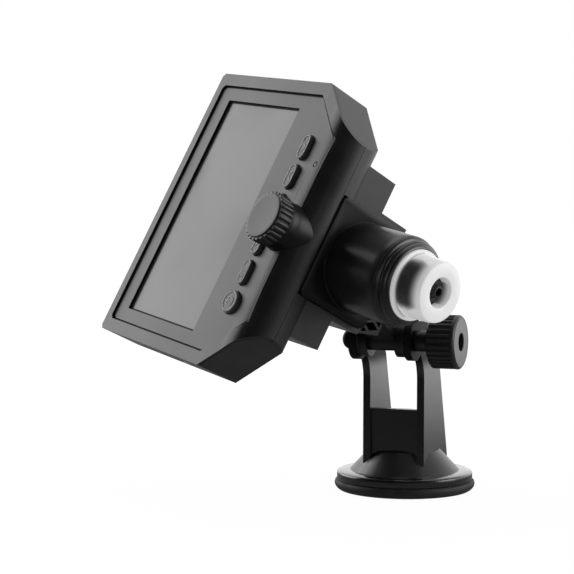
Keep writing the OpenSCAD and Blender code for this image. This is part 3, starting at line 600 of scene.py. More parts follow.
@dataclass(frozen=True)
class Screen(Finish):
    """The dark window over the display, with a dull black border at its two ends, painted as the
    shade of the recess walls there.
    """

    border_shade: Colour = (0.004, 0.004, 0.004)
    glass_colour: Colour = (0.052, 0.053, 0.055)
    half_w: float = 47.7
    soft: float = 0.15

    def shade(self, g: Graph) -> Signal:
        """The active area between its borders, and dust on the glass.

        Args:
            g: The graph that it is drawn in.

        Returns:
            The surface.
        """
        x, _, _ = g.axes(g.local(STANCE.device()))
        w, e = self.half_w, self.soft
        inside = x.span(-w - e, -w + e) * (1 - x.span(w - e, w + e))
        dust = g.noise(g.place(), 900.0, 4.0, 0.7).span(0.68, 0.85)
        smear = g.noise(g.place(), 35.0, 3.0).span(0.4, 0.75)
        # painted shade: the black border stands in for the shade of the window's recess walls
        glass = g.blend(inside, self.border_shade, self.glass_colour)
        return g.surface(
            Base_Color=g.blend(dust * 0.25, glass, (0.30, 0.30, 0.30)),
            Roughness=0.30 + smear * 0.08 + dust * 0.2 + (1 - inside) * 0.45,
            Specular_IOR_Level=0.55, Coat_Weight=inside * 0.15, Coat_Roughness=0.08)


@dataclass(frozen=True)
class Palette:
    """The finishes of the whole part."""

    case: Finish = Moulded("case_satin", roughness=0.40)
    boss: Finish = Moulded("boss_satin", (0.005, 0.005, 0.006), (0.009, 0.009, 0.010), 0.36,
                           specular=0.3)
    panel: Finish = Fronted("front_panel", (0.011, 0.011, 0.012), (0.018, 0.018, 0.019), 0.38)
    key: Finish = Moulded("key_plastic", (0.060, 0.060, 0.062), (0.072, 0.072, 0.074), 0.40, 3400.0)
    knob: Finish = Moulded("knob_plastic", (0.012, 0.012, 0.013), (0.020, 0.020, 0.021), 0.36)
    knob_face: Finish = Moulded("knob_face", (0.016, 0.016, 0.017), (0.024, 0.024, 0.025), 0.36,
                                specular=0.42)
    barrel: Finish = Moulded("barrel_plastic", (0.008, 0.008, 0.009), (0.012, 0.012, 0.013), 0.31,
                             2200.0, 0.00002, specular=0.8)
    # painted shade: the plate is the barrel's own moulding, given a darker, weakly reflecting copy
    # of its finish
    plate: Finish = Moulded("plate_shaded_plastic", (0.006, 0.006, 0.007), (0.010, 0.010, 0.011), 0.30,
                            2200.0, 0.00002, specular=0.2)
    stand: Finish = Sheltered("stand_plastic", (0.005, 0.005, 0.006), (0.010, 0.010, 0.011), 0.34,
                              specular=0.9)
    head: Finish = Moulded("head_plastic", (0.006, 0.006, 0.007), (0.012, 0.012, 0.013), 0.42,
                           specular=0.45)
    disc: Finish = Moulded("disc_gloss", (0.008, 0.008, 0.008), (0.011, 0.011, 0.011), 0.20,
                           1200.0, 0.00001, 0.5)
    lever: Finish = Moulded("lever_gloss", (0.010, 0.010, 0.010), (0.014, 0.014, 0.014), 0.28)
    inner: Finish = Moulded("inner_black", (0.010, 0.010, 0.010), (0.016, 0.016, 0.016), 0.55)
    screen: Finish = Screen("screen_window")
    clear: Finish = Frosted("contact_cap_plastic")
    lens: Finish = Clear("lens_glass_finish", (0.92, 0.95, 1.0), 1.52)
    rubber: Finish = Rubber("cup_rubber")
    steel: Finish = Metal("steel_turned")
    blued: Finish = Metal("steel_blued", (0.05, 0.05, 0.055), 0.35)
    brass: Finish = Metal("brass_turned", (0.62, 0.44, 0.18), 0.3)
    sleeve: Finish = Moulded("cell_sleeve", (0.03, 0.09, 0.22), (0.04, 0.11, 0.26), 0.3)
    board: Finish = Board("circuit_board")
    chip: Finish = Moulded("chip_epoxy", (0.015, 0.015, 0.016), (0.022, 0.022, 0.023), 0.6)
    switch: Finish = Moulding("switch_body")
    flex: Finish = Moulding("flex_film", (0.42, 0.20, 0.05), 0.35)
    washer: Finish = Moulding("washer_nylon", (0.02, 0.02, 0.02), 0.5)
    led: Finish = Moulding("led_resin", (0.85, 0.84, 0.76), 0.25)
    status: Finish = Moulding("status_resin", (0.42, 0.42, 0.40), 0.2)
    mark: Finish = Moulding("legend_ink", (0.42, 0.42, 0.42), 0.4)
    module: Finish = Moulded("display_module", (0.02, 0.02, 0.022), (0.03, 0.03, 0.032), 0.25)


PALETTE = Palette()


# ---------------------------------------------------------------- meshes


def linked(name: str, data: bpy.types.ID) -> bpy.types.Object:
    """Puts an object into the scene.

    Args:
        name: The object's name.
        data: Its mesh, lamp or camera.

    Returns:
        The object, at the origin.
    """
    made = bpy.data.objects.new(name, data)
    bpy.context.scene.collection.objects.link(made)
    return made


class Solid:
    """A mesh in the making, in millimetres, in one of the part's frames."""

    def __init__(self) -> None:
        """Starts empty."""
        self.bm = bmesh.new()

    @classmethod
    def prism(cls, outline: Sequence[Point2], low: float, high: float) -> "Solid":
        """A straight bar.

        Args:
            outline: Its section, as x and y.
            low: Where it starts along z.
            high: Where it ends.

        Returns:
            The bar.
        """
        made = cls()
        ring = [made.bm.verts.new((x, y, low)) for x, y in outline]
        face = made.bm.faces.new(ring)
        grown = bmesh.ops.extrude_face_region(made.bm, geom=[face])
        moved = [v for v in grown["geom"] if isinstance(v, bmesh.types.BMVert)]
        bmesh.ops.translate(made.bm, verts=moved, vec=(0, 0, high - low))
        return made.outward()

    @classmethod
    def lathe(cls, profile: Sequence[Point2], steps: int = 96, closed: bool = False) -> "Solid":
        """A turned shape.

        Args:
            profile: Radius and height of each point.
            steps: Facets round the axis.
            closed: Whether the last point joins the first, as in a ring.

        Returns:
            The turned shape.
        """
        made = cls()
        line = [made.bm.verts.new((r, 0, z)) for r, z in profile]
        pairs = list(zip(line, line[1:])) + ([(line[-1], line[0])] if closed else [])
        edges = [made.bm.edges.new(pair) for pair in pairs]
        bmesh.ops.spin(made.bm, geom=line + edges, cent=(0, 0, 0), axis=(0, 0, 1),
                       angle=math.tau, steps=steps, use_merge=True)
        bmesh.ops.remove_doubles(made.bm, verts=made.bm.verts, dist=1e-4)
        return made.outward()

    @classmethod
    def carried(cls, node: str) -> "Solid":
        """A copy of a CAD node with its facets joined, in millimetres.

        Args:
            node: The CAD node's name.

        Returns:
            The copy, in the row frame.
        """
        made = cls()
        made.bm.from_mesh(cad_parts[node].data)
        bmesh.ops.scale(made.bm, vec=(1 / MM,) * 3, verts=made.bm.verts)
        bmesh.ops.remove_doubles(made.bm, verts=made.bm.verts, dist=1e-3)
        bmesh.ops.dissolve_limit(made.bm, angle_limit=math.radians(0.6), verts=made.bm.verts,
                                 edges=made.bm.edges, delimit={"NORMAL"})
        return made

    def outward(self) -> "Solid":
        """Turns the faces outwards."""
        bmesh.ops.recalc_face_normals(self.bm, faces=self.bm.faces)
        return self

    def move(self, where: Matrix) -> "Solid":
        """Moves the whole shape."""
        bmesh.ops.transform(self.bm, matrix=where, verts=self.bm.verts)
        return self

    def add(self, other: "Solid") -> "Solid":
        """Takes another shape in beside this one.

        Args:
            other: The other shape, which is used up.

        Returns:
            This shape.
        """
        spare = bpy.data.meshes.new("spare")
        other.bm.to_mesh(spare)
        self.bm.from_mesh(spare)
        bpy.data.meshes.remove(spare)
        other.bm.free()
        return self

    def slice(self, heights: Iterable[float]) -> "Solid":
        """Cuts the faces along planes across y, and keeps both halves joined.

        Args:
            heights: Where the planes lie along y.

        Returns:
            This shape.
        """
        for y in heights:
            everything = [*self.bm.verts, *self.bm.edges, *self.bm.faces]
            bmesh.ops.bisect_plane(self.bm, geom=everything, dist=1e-5, plane_co=(0, y, 0),
                                   plane_no=(0, 1, 0))
        return self

    def mould(self, place: Callable[[Vector], Vector]) -> "Solid":
        """Moves each point.

        Args:
            place: Gives a point's new place.

        Returns:
            This shape.
        """
        for vert in self.bm.verts:
            vert.co = place(vert.co)
        return self

    def ease(self, width: float, segments: int = 2, angle: float = 32.0,
             where: Callable[[Vector], bool] | None = None) -> "Solid":
        """Rounds the edges that turn by more than angle.

        Args:
            width: How far the rounding reaches, in millimetres.
            segments: Its facets.
            angle: The least turn, in degrees.
            where: Keeps only edges whose middle it accepts.

        Returns:
            This shape.
        """
        limit = math.radians(angle)
        edges = [e for e in self.bm.edges
                 if len(e.link_faces) == 2 and e.calc_face_angle(0.0) > limit
                 and (where is None or where((e.verts[0].co + e.verts[1].co) / 2))]
        if edges:
            bmesh.ops.bevel(self.bm, geom=edges, offset=width, segments=segments, profile=0.5,
                            affect="EDGES", material=-1, clamp_overlap=True)
        return self

    def piece(self, name: str, body: Body | str, finish: Finish, slot: str,
              where: Matrix | None = None, stands_for: Iterable[str] = (),
              smooth: float = 30.0) -> bpy.types.Object:
        """Makes the shape an object of the part.

        Args:
            name: The piece's name.
            body: The rigid body that it rides on.
            finish: Its finish.
            slot: The record's material slot; not used.
            where: The frame it was made in; the row frame if left out.
            stands_for: CAD nodes that it replaces.
            smooth: Edges that turn by less than this many degrees look smooth.

        Returns:
            The object, at the origin.
        """
        mesh = bpy.data.meshes.new(name)
        bmesh.ops.transform(self.bm, matrix=where or STANCE.world(), verts=self.bm.verts)
        self.bm.to_mesh(mesh)
        self.bm.free()
        mesh.shade_smooth()
        mesh.set_sharp_from_angle(angle=math.radians(smooth))
        mesh.materials.append(finish.material())
        made = linked(name, mesh)
        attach(made, body.value if isinstance(body, Body) else body)
        if stands_for:
            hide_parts(*stands_for)
        log.info("%s: %d faces", name, len(mesh.polygons))
        return made


def arc(centre: Point2, radius: float, start: float, end: float, count: int) -> list[Point2]:
    """Points on a circle's arc.

    Args:
        centre: The circle's centre.
        radius: Its radius.
        start: The first angle, in degrees.
        end: The last angle.
        count: How many points.

    Returns:
        The points in order.
    """
    angles = (math.radians(start + (end - start) * i / (count - 1)) for i in range(count))
    return [(centre[0] + radius * math.cos(a), centre[1] + radius * math.sin(a)) for a in angles]


def ribbed(radius: float, rib: float, count: int, half: float, points: int) -> list[Point2]:
    """A round section with half-round ribs all the way round.

    Args:
        radius: How far the ribs reach.
        rib: A rib's own radius.
        count: How many ribs.
        half: Half of the arc that each rib shows, in degrees.
        points: How many points each rib has.

    Returns:
        The points in order.
    """
    section: list[Point2] = []
    for i in range(count):
        mid = 360 * i / count
        out = math.radians(mid)
        centre = ((radius - rib) * math.cos(out), (radius - rib) * math.sin(out))
        section += arc(centre, rib, mid - half, mid + half, points)
    return section


def keep_flat(made: bpy.types.Object) -> None:
    """Weights a piece's normals, so that its flat faces stay flat between rounded edges."""
    made.modifiers.new("flat faces stay flat", "WEIGHTED_NORMAL").keep_sharp = True


def eased_copy(node: str, body: Body | str, finish: Finish, slot: str, width: float,
               segments: int = 2) -> None:
    """Makes a piece of a CAD node's shape with its sharp edges rounded.

    Args:
        node: The CAD node that the piece stands for.
        body: The rigid body that it rides on.
        finish: Its finish.
        slot: The record's material slot.
        width: The rounding's reach in millimetres.
        segments: The rounding's facets.
    """
    shape = Solid.carried(node).ease(width, segments)
    keep_flat(shape.piece(node + "_eased", body, finish, slot, stands_for=[node], smooth=40.0))


# ---------------------------------------------------------------- display unit


@dataclass
class Housing:
    """The display unit's case."""

    edge: float = 0.35
    nose_y: float = -52.1
    nose_z: float = -11.5
    nose_r: float = 12.0
    panel_z: float = -0.9
    panel_side: float = 53.1
    corner_y: float = -41.1
    corner_slope: float = 0.862
    roll: float = 1.7
    roll_span: tuple[float, float] = (-11.0, 3.0)
    roll_floor: float = -5.0
    slack: float = 0.06
    cut_start: float = 2.0
    cut_step: float = 0.7
    cuts: int = 19
    boss_y: float = -53.2
    skirt: float = 11.9
    skirt_span: tuple[float, float] = (-10.0, 1.5)
    skirt_slack: float = 0.1
    tucked: float = 9.3

    def build(self) -> None:
        """Makes the bezel with its boss, the shell and the battery's cover."""
        self.bezel()
        self.boss()
        eased_copy("rear_shell", Body.DISPLAY, PALETTE.case, "housing", self.edge)
        eased_copy("battery_cover", Body.COVER, PALETTE.case, "housing", 0.25)

    def pared(self, spot: Vector) -> Vector:
        """Draws the skirt of the CAD boss in under the turned boss.

        Args:
            spot: A point of the bezel, in the display's frame.

        Returns:
            The point, moved towards the boss's axis if it lay on the skirt.
        """
        out = Vector((spot.x, spot.y - self.boss_y))
        low, high = self.skirt_span
        if not low < spot.z < high or not self.tucked < out.length < self.skirt:
            return spot
        moved = out * self.tucked / out.length
        y = self.boss_y + moved.y
        lay_on = abs(spot.z - self.surface(spot.y)) < self.skirt_slack
        return Vector((moved.x, y, self.surface(y) if lay_on else spot.z))

    def nose(self, out: float) -> float:
        """The nose's height at a distance out along y from its centre."""
        return self.nose_z + math.sqrt(max(self.nose_r ** 2 - out ** 2, 0.0))

    def surface(self, y: float) -> float:
        """The height at y of the panel, or of the nose where it falls below the panel."""
        return min(self.panel_z, self.nose(min(y - self.nose_y, 0.0)))

    def rolled(self, spot: Vector) -> Vector:
        """Blends the flat front into the nose, so that no crease shows between them.

        Args:
            spot: A point of the bezel, in the display's frame.

        Returns:
            The point, lowered where the front rolls over.
        """
        out = spot.y - self.nose_y
        low, high = self.roll_span
        if not low < out < high or spot.z < self.roll_floor:
            return spot
        curve = self.nose(out)
        side = self.panel_side - max(0.0, self.corner_y - spot.y) * self.corner_slope
        flat = self.panel_z if abs(spot.x) < side else 0.0
        if abs(spot.z - min(flat, curve)) > self.slack:
            return spot
        share = min(1.0, max(0.0, 0.5 + 0.5 * (curve - flat) / self.roll))
        height = curve * (1 - share) + flat * share - self.roll * share * (1 - share)
        return Vector((spot.x, spot.y, height))

    def bezel(self) -> None:
        """The bezel, whose sunken panel rolls over into the nose."""
        shape = Solid.carried("front_bezel").move(STANCE.device().inverted() @ STANCE.world())
        shape.ease(self.edge).mould(self.pared)
        first = self.nose_y + self.cut_start
        shape.slice([first - self.cut_step * i for i in range(self.cuts)]).mould(self.rolled)
        keep_flat(shape.piece("front_bezel_eased", Body.DISPLAY, PALETTE.panel, "housing",
                              STANCE.device(), ["front_bezel"], 40.0))

    def boss(self) -> None:
        """The smooth boss that carries the focus knob and flares into the nose."""
        where = STANCE.device() @ shift(0, self.boss_y, 0)
        Solid.lathe([
            (3.3, 3.28), (9.15, 3.28), (9.42, 3.2), (9.55, 2.95), (9.6, 2.0), (9.66, 0.4),
            (9.8, -0.3), (9.92, -0.9), (10.0, -2.0), (10.1, -4.0), (10.2, -6.0), (10.32, -8.0),
            (10.45, -10.0), (10.5, -11.3), (3.3, -11.3)],
            128, True).piece("focus_boss", Body.DISPLAY, PALETTE.boss, "housing", where,
                             smooth=50.0)


@dataclass
class Legend:
    """A printed sign on a key, drawn in strokes on the key's top."""

    strokes: list[list[Point2]]
    width: float = 0.42
    height: float = 0.16
    overlap: float = 0.3

    def solid(self) -> Solid:
        """All the strokes as one thin print.

        Returns:
            The print, on the plane z = 0.
        """
        made = Solid()
        for stroke in self.strokes:
            for a, b in zip(stroke, stroke[1:]):
                along = Vector((b[0] - a[0], b[1] - a[1], 0)).normalized()
                side = Vector((-along.y, along.x, 0)) * self.width / 2
                reach = along * self.width * self.overlap
                p, q = Vector((*a, 0)) - reach, Vector((*b, 0)) + reach
                corners = [p + side, p - side, q - side, q + side]
                made.add(Solid.prism([(c.x, c.y) for c in corners], 0, self.height))
        return made


@dataclass
class Keys:
    """The row of keys beside the screen, and the small lamp near them."""

    row_y: float = -43.6
    top: float = 0.6
    length: float = 9.2
    round: float = 1.85
    lamp: Point2 = (26.7, -54.0)
    places: dict[str, float] = field(default_factory=lambda: {
        "power": -33.2, "menu": -20.7, "down": -8.2, "mode": 7.6, "up": 20.1, "ok": 32.6})

    def legends(self) -> dict[str, Legend]:
        """The sign on each key.

        Returns:
            The signs by the keys' names.
        """
        rim = arc((0, 0), 3.9, 0, 360, 49)
        ring = arc((0, 0), 1.9, 120, 420, 25)
        half = self.length / 2 - self.round
        edge = arc((half, 0), self.round, -90, 90, 13) + arc((-half, 0), self.round, 90, 270, 13)
        edge.append(edge[0])
        return {
            "power": Legend([ring, [(0, 0.6), (0, 2.5)], rim]),
            "menu": Legend([*([(-2.2, y), (2.2, y)] for y in (-0.9, 0.0, 0.9)), edge]),
            "down": Legend([[(-1.8, 0.7), (0, -0.8), (1.8, 0.7)], edge]),
            "mode": Legend([[(-1.6, -0.8), (1.6, -0.8), (1.6, 0.8), (-1.6, 0.8), (-1.6, -0.8)],
                            edge]),
            "up": Legend([[(-1.8, -0.7), (0, 0.8), (1.8, -0.7)], edge]),
            "ok": Legend([[(-1.7, 0.1), (-0.5, -0.9), (1.8, 0.9)], edge]),
        }

    def build(self) -> None:
        """Makes the lamp's lens, and each key with its sign."""
        lens = [(0, -0.75), (0.45, -0.85), (0.8, -1.1), (1.02, -1.5), (1.1, -2.2), (0, -2.2)]
        Solid.lathe(lens, 32).piece("status_lens", Body.DISPLAY, PALETTE.status, "led",
                                    STANCE.device() @ shift(*self.lamp, 0))
        for name, sign in self.legends().items():
            body = name + "_key"
            eased_copy(name + "_button", body, PALETTE.key, "key", 0.22, 3)
            where = STANCE.device() @ shift(self.places[name], self.row_y, self.top)
            sign.solid().piece(name + "_sign", body, PALETTE.mark, "key", where)


@dataclass
class FocusDrive:
    """The focus knob on the front."""

    centre_y: float = -53.2
    radius: float = 10.2
    back: float = 3.6
    front: float = 10.0
    ribs: int = 26
    rib: float = 0.95
    face_radius: float = 9.0

    def build(self) -> None:
        """Makes the knob with a slightly domed, rimmed face."""
        where = STANCE.device() @ shift(0, self.centre_y, 0)
        r, z = self.face_radius, self.front
        section = ribbed(self.radius, self.rib, self.ribs, 86, 9)
        ribs = Solid.prism(section, self.back, z - 0.7)
        ribs.ease(0.18, 2, 50.0, lambda p: p.z > z - 0.8 or p.z < self.back + 0.1)
        cap = Solid.lathe([
            (0, z - 0.12), (4.0, z - 0.09), (7.4, z - 0.02), (8.3, z), (r - 0.15, z - 0.06),
            (r, z - 0.25), (r + 0.15, z - 0.6), (r + 0.2, z - 1.2), (0, z - 1.2)])
        ribs.piece("focus_knob_turned", Body.FOCUS, PALETTE.knob, "knob", where, ["focus_knob"])
        cap.piece("focus_knob_face", Body.FOCUS, PALETTE.knob_face, "knob", where)


# ---------------------------------------------------------------- barrel


@dataclass
class Barrel:
    """The barrel with its end ring, the lens tube and the clear cap."""

    radius: float = 17.4
    length: float = 25.5
    rim_radius: float = 13.5
    body_radius: float = 12.0
    face_radius: float = 11.35
    hole_radius: float = 5.8
    cap_start: float = 29.1
    cap_end: float = 43.2
    tube_end: float = 40.0
    bore: float = 15.5
    flare: float = 0.3
    plate_drop: float = 2.9
    plate_sink: float = 0.05
    plate_y: float = -64.9
    plate_half: float = 20.5
    plate_front: float = -12.1
    plate_back: float = -46.5
    plate_thick: float = 6.0
    plate_cut: float = 1.5

    def build(self) -> None:
        """Makes the barrel's pieces."""
        self.shell()
        self.plate()
        self.ring()
        self.cap()
        self.tube()

    def seated(self, spot: Vector) -> Vector:
        """Leans the tube's foot onto the slanting plate.

        Args:
            spot: A point of the tube, in the barrel's frame.

        Returns:
            The point, moved along the barrel, and less so towards the barrel's end.
        """
        lean = math.radians(STANCE.barrel_lean)
        base = (self.plate_drop - math.sin(lean) * spot.y) / math.cos(lean)
        share = max(0.0, 1.0 - spot.z / self.length)
        return Vector((spot.x, spot.y, spot.z + (base - self.plate_sink) * share))

    def shell(self) -> None:
        """The tube, flared where it grows from its slanting plate."""
        r, f, top = self.radius, self.flare, self.length
        fillet = [(r + f * (1 - math.cos(a)), f * (1 - math.sin(a)))
                  for a in (math.radians(5 * i) for i in range(18, -1, -1))]
        rows = [(r, f + (top - f - 0.6) * i / 8) for i in range(1, 9)]
        tube = Solid.lathe([*fillet, *rows, (r - 0.12, top - 0.2), (r - 0.4, top),
                            (self.bore, top), (self.bore, 0.0)], 128, True)
        tube.mould(self.seated).piece("barrel_housing_turned", Body.DISPLAY, PALETTE.barrel,
                                      "barrel", STANCE.barrel(), ["barrel_housing"], 40.0)

    def plate(self) -> None:
        """The slanting plate, open at the rear, where the tube's bore passes through it."""
        lean = math.radians(STANCE.barrel_lean)
        h, c = self.plate_half, self.plate_cut
        a, b = self.plate_front, self.plate_back
        mid = (self.bore + self.radius) / 2
        back = STANCE.barrel_zero[2]
        start = math.degrees(math.asin((b - back) * math.cos(lean) / mid))
        mouth = [(x, y / math.cos(lean) + back)
                 for x, y in arc((0, 0), mid, 180 - start, start, 65)]
        plate = Solid.prism([
            (h - c, b), (h, b + c), (h, a - c), (h - c, a), (c - h, a), (-h, a - c), (-h, b + c),
            (c - h, b), *mouth], 0.0, self.plate_thick).ease(0.4, 3)
        plate.move(shift(0, self.plate_y + self.plate_thick, 0) @ turn(90, "X"))
        plate.piece("barrel_plate", Body.DISPLAY, PALETTE.plate, "barrel", STANCE.device())

    def ring(self) -> None:
        """The grooved ring that holds the cap."""
        r, s = self.radius, self.length
        Solid.lathe([
            (10.95, s + 0.5), (r - 0.15, s), (r - 0.1, s + 0.15), (r - 0.35, s + 0.6),
            (r - 0.9, s + 1.15), (r - 1.55, s + 1.4), (r - 1.7, s + 1.5), (r - 1.72, s + 1.8),
            (r - 1.5, s + 1.92), (r - 1.32, s + 2.1), (r - 1.25, s + 2.5), (r - 1.3, s + 2.95),
            (r - 1.5, s + 3.4), (r - 1.9, s + 3.8), (r - 2.3, s + 4.0), (r - 2.45, s + 4.15),
            (r - 2.5, s + 4.4), (r - 2.75, s + 4.7), (r - 3.2, s + 5.0), (14.0, s + 5.1),
            (13.62, s + 5.08), (13.56, s + 4.9), (13.55, s + 3.6), (10.95, s + 3.6)],
            128, True).piece("end_ring_turned", Body.DISPLAY, PALETTE.barrel, "ring",
                             STANCE.barrel(), ["end_ring"], 50.0)

    def cap(self) -> None:
        """The clear cap: rim, straight body, front face and inner sleeve."""
        a, b = self.cap_start, self.cap_end
        rim, body, face, hole = (self.rim_radius, self.body_radius, self.face_radius,
                                 self.hole_radius)
        Solid.lathe([
            (11.0, a), (rim - 0.15, a), (rim, a + 0.15), (rim, a + 2.1), (rim - 0.12, a + 2.4),
            (rim - 0.5, a + 2.6), (body + 0.2, a + 2.75), (body, a + 2.95), (body, a + 5.0),
            (body - 0.15, a + 8.0), (body - 0.3, b - 2.4), (face + 0.1, b - 1.0),
            (face, b - 0.5), (face - 0.15, b - 0.2), (face - 0.5, b), (hole + 0.35, b),
            (hole + 0.1, b - 0.1), (hole, b - 0.35), (hole, b - 4.9), (hole + 0.9, b - 5.0),
            (hole + 1.0, b - 4.7), (hole + 1.0, b - 1.9), (hole + 1.4, b - 1.5), (9.2, b - 1.6),
            (9.9, b - 2.0), (10.1, b - 2.8), (10.1, a + 4.4), (10.4, a + 2.4), (11.0, a + 1.8)],
            128, True).piece("clear_cap_turned", Body.DISPLAY, PALETTE.clear, "clear",
                             STANCE.barrel(), ["clear_cap"], 40.0)

    def tube(self) -> None:
        """The black lens tube with its stepped nose."""
        n = self.tube_end
        Solid.lathe([
            (3.2, 5.0), (5.2, 5.0), (5.2, n - 2.4), (5.1, n - 2.2), (4.9, n - 2.0),
            (4.9, n - 1.0), (4.7, n - 0.6), (4.2, n - 0.1), (3.9, n), (2.75, n), (2.6, n + 0.2),
            (2.5, n + 1.5), (2.35, n + 1.9), (1.95, n + 2.2), (1.6, n + 2.2), (1.5, n + 2.0),
            (1.5, n - 1.5), (3.2, n - 3.0)],
            72, True).piece("lens_tube_turned", Body.CARRIAGE, PALETTE.inner, "carriage",
                            STANCE.barrel(), ["lens_tube"], 40.0)


# ---------------------------------------------------------------- stand


@dataclass
class Base:
    """The suction cup with the disc above it."""

    cup_radius: float = 29.0
    disc_radius: float = 28.0

    def build(self) -> None:
        """Turns the cup and the disc."""
        r, d = self.cup_radius, self.disc_radius
        Solid.lathe([
            (5.35, 2.2), (12, 2.1), (20, 1.3), (24.5, 0.3), (25.2, 0), (r - 2.6, 0),
            (r - 1.9, 0.12), (r - 1.2, 0.55), (r - 0.6, 1.15), (r - 0.2, 1.8), (r, 2.5),
            (r - 0.05, 3.2), (r - 0.25, 3.75), (r - 0.6, 4.08), (r - 1.0, 4.2), (5.35, 4.2)],
            128, True).piece("suction_cup_turned", Body.STAND, PALETTE.rubber, "rubber",
                             None, ["suction_cup"], 40.0)
        Solid.lathe([
            (2.9, 4.2), (d - 0.45, 4.2), (d - 0.15, 4.32), (d, 4.6), (d, 6.9), (d - 0.08, 7.25),
            (d - 0.35, 7.55), (d - 0.8, 7.75), (d - 2.4, 7.98), (23.8, 8.2), (2.9, 8.2)],
            128, True).piece("base_disc_turned", Body.STAND, PALETTE.disc, "disc",
                             None, ["base_disc"], 40.0)


@dataclass
class Yoke:
    """The stand's arms and what they hold."""

    foot_z: float = 9.2
    bend_z: float = 47.0
    bend_y: float = -12.8
    bend_slope: float = 1.036
    bend_room: float = 1.2
    hollow_y: float = -28.0
    hollow_r: float = 14.0
    arm_inner: float = 9.9
    arm_front: float = -11.0

    def straightened(self, spot: Vector) -> Vector:
        """Leads the arms' front edges straight into the hollow under their bend.

        Args:
            spot: A point of the yoke, in the row frame.

        Returns:
            The point, moved along y if it lay on a front edge.
        """
        height = spot.z - self.bend_z
        if abs(spot.x) < self.arm_inner or spot.y > self.arm_front:
            return spot
        if spot.z <= self.foot_z or height > self.bend_room:
            return spot
        share = min(1.0, (spot.z - self.foot_z) / (self.bend_z - self.foot_z))
        wanted = self.hollow_y + math.sqrt(self.hollow_r ** 2 - max(0.0, height) ** 2)
        found = self.bend_y - self.bend_slope * max(0.0, height)
        return Vector((spot.x, spot.y + (wanted - found) * share, spot.z))

    def build(self) -> None:
        """Makes the yoke, the head and the lever."""
        arms = Solid.carried("stand_yoke").ease(0.4, 3).mould(self.straightened)
        keep_flat(arms.piece("stand_yoke_eased", Body.STAND, PALETTE.stand, "stand",
                             stands_for=["stand_yoke"], smooth=40.0))
        eased_copy("mount_head", Body.DISPLAY, PALETTE.head, "stand", 0.15, 1)
        eased_copy("cam_lever", Body.LEVER, PALETTE.lever, "lever", 0.4, 3)


@dataclass
class Clamp:
    """The clamp knob and the domed nut on the tilt axle."""

    neck_start: float = 13.2
    neck_length: float = 6.4
    neck_radius: float = 4.2
    radius: float = 10.7
    length: float = 12.0
    ribs: int = 30
    rib: float = 0.6
    bore: float = 2.58
    well: float = 3.5
    nut_z: float = -13.1

    def build(self) -> None:
        """Makes the knob and the nut."""
        self.knob()
        self.nut()

    def knob(self) -> None:
        """A ribbed rim between a neck and a bevelled face with a well."""
        a = self.neck_start + self.neck_length
        b = a + self.length
        r, n, w, bore, low = self.radius, self.neck_radius, self.well, self.bore, self.neck_start
        rim = Solid.prism(ribbed(r, self.rib, self.ribs, 80, 7), a + 1.0, b - 1.6)
        hub = Solid.lathe([
            (bore, low), (n - 0.2, low), (n, low + 0.2), (n, a - 0.6), (n + 0.5, a), (r - 2.0, a),
            (r - 1.3, a + 0.25), (r - 0.75, a + 0.8), (r - 0.68, a + 1.2), (r - 0.68, b - 1.9),
            (r + 0.02, b - 1.7), (r + 0.05, b - 0.95), (r - 0.1, b - 0.6), (r - 0.6, b - 0.15),
            (r - 0.85, b - 0.03), (r - 0.95, b - 0.15), (r - 1.2, b - 0.15), (r - 1.3, b),
            (r - 1.6, b), (w + 0.7, b), (w + 0.3, b), (w + 0.05, b - 0.12), (w, b - 0.3),
            (w, a + 1.0), (bore, a + 1.0)], 120, True)
        rim.add(hub).piece("clamp_knob_turned", Body.CLAMP, PALETTE.knob, "knob",
                           STANCE.axle(), ["clamp_knob"])

    def nut(self) -> None:
        """A smooth domed cap nut."""
        z = self.nut_z
        Solid.lathe([
            (2.5, z), (3.7, z), (3.9, z - 0.2), (3.9, z - 2.2), (3.7, z - 2.9), (3.1, z - 3.7),
            (2.2, z - 4.3), (1.2, z - 4.6), (0, z - 4.7), (0, z - 3.05), (2.5, z - 3.05)],
            64, True).piece("dome_nut_turned", Body.STAND, PALETTE.stand, "steel",
                            STANCE.axle(), ["dome_nut"], 40.0)


@dataclass
class Inside:
    """CAD pieces that keep their shape and only take a finish."""

    spare: Finish = PALETTE.inner
    wearers: tuple[tuple[Finish, tuple[str, ...]], ...] = (
        (PALETTE.screen, ("lcd_window",)),
        (PALETTE.module, ("lcd_panel",)),
        (PALETTE.flex, ("lcd_flex",)),
        (PALETTE.board, ("main_board", "key_board", "sensor_board")),
        (PALETTE.chip, ("board_chips", "image_sensor")),
        (PALETTE.switch, ("key_switches",)),
        (PALETTE.led, ("light_leds",)),
        (PALETTE.status, ("status_led",)),
        (PALETTE.sleeve, ("battery_cell",)),
        (PALETTE.steel, ("battery_contacts", "usb_socket", "card_socket", "case_screws",
                         "seat_screws", "head_screws", "base_screws", "focus_shaft", "cup_stem",
                         "clamp_bolt")),
        (PALETTE.brass, ("focus_pinion", "shaft_bush", "knob_insert")),
        (PALETTE.lens, ("lens_glass",)),
        (PALETTE.blued, ("lever_pin",)),
        (PALETTE.washer, ("friction_washers",)),
    )

    def build(self) -> None:
        """Gives each piece its finish."""
        finishes = {node: finish for finish, nodes in self.wearers for node in nodes}
        for node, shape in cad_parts.items():
            finish = finishes.get(node, self.spare)
            slots = shape.data.materials
            if not slots:
                slots.append(None)
            for i in range(len(slots)):
                slots[i] = finish.material()
            log.info("%s wears %s", node, finish.name)


# ---------------------------------------------------------------- studio


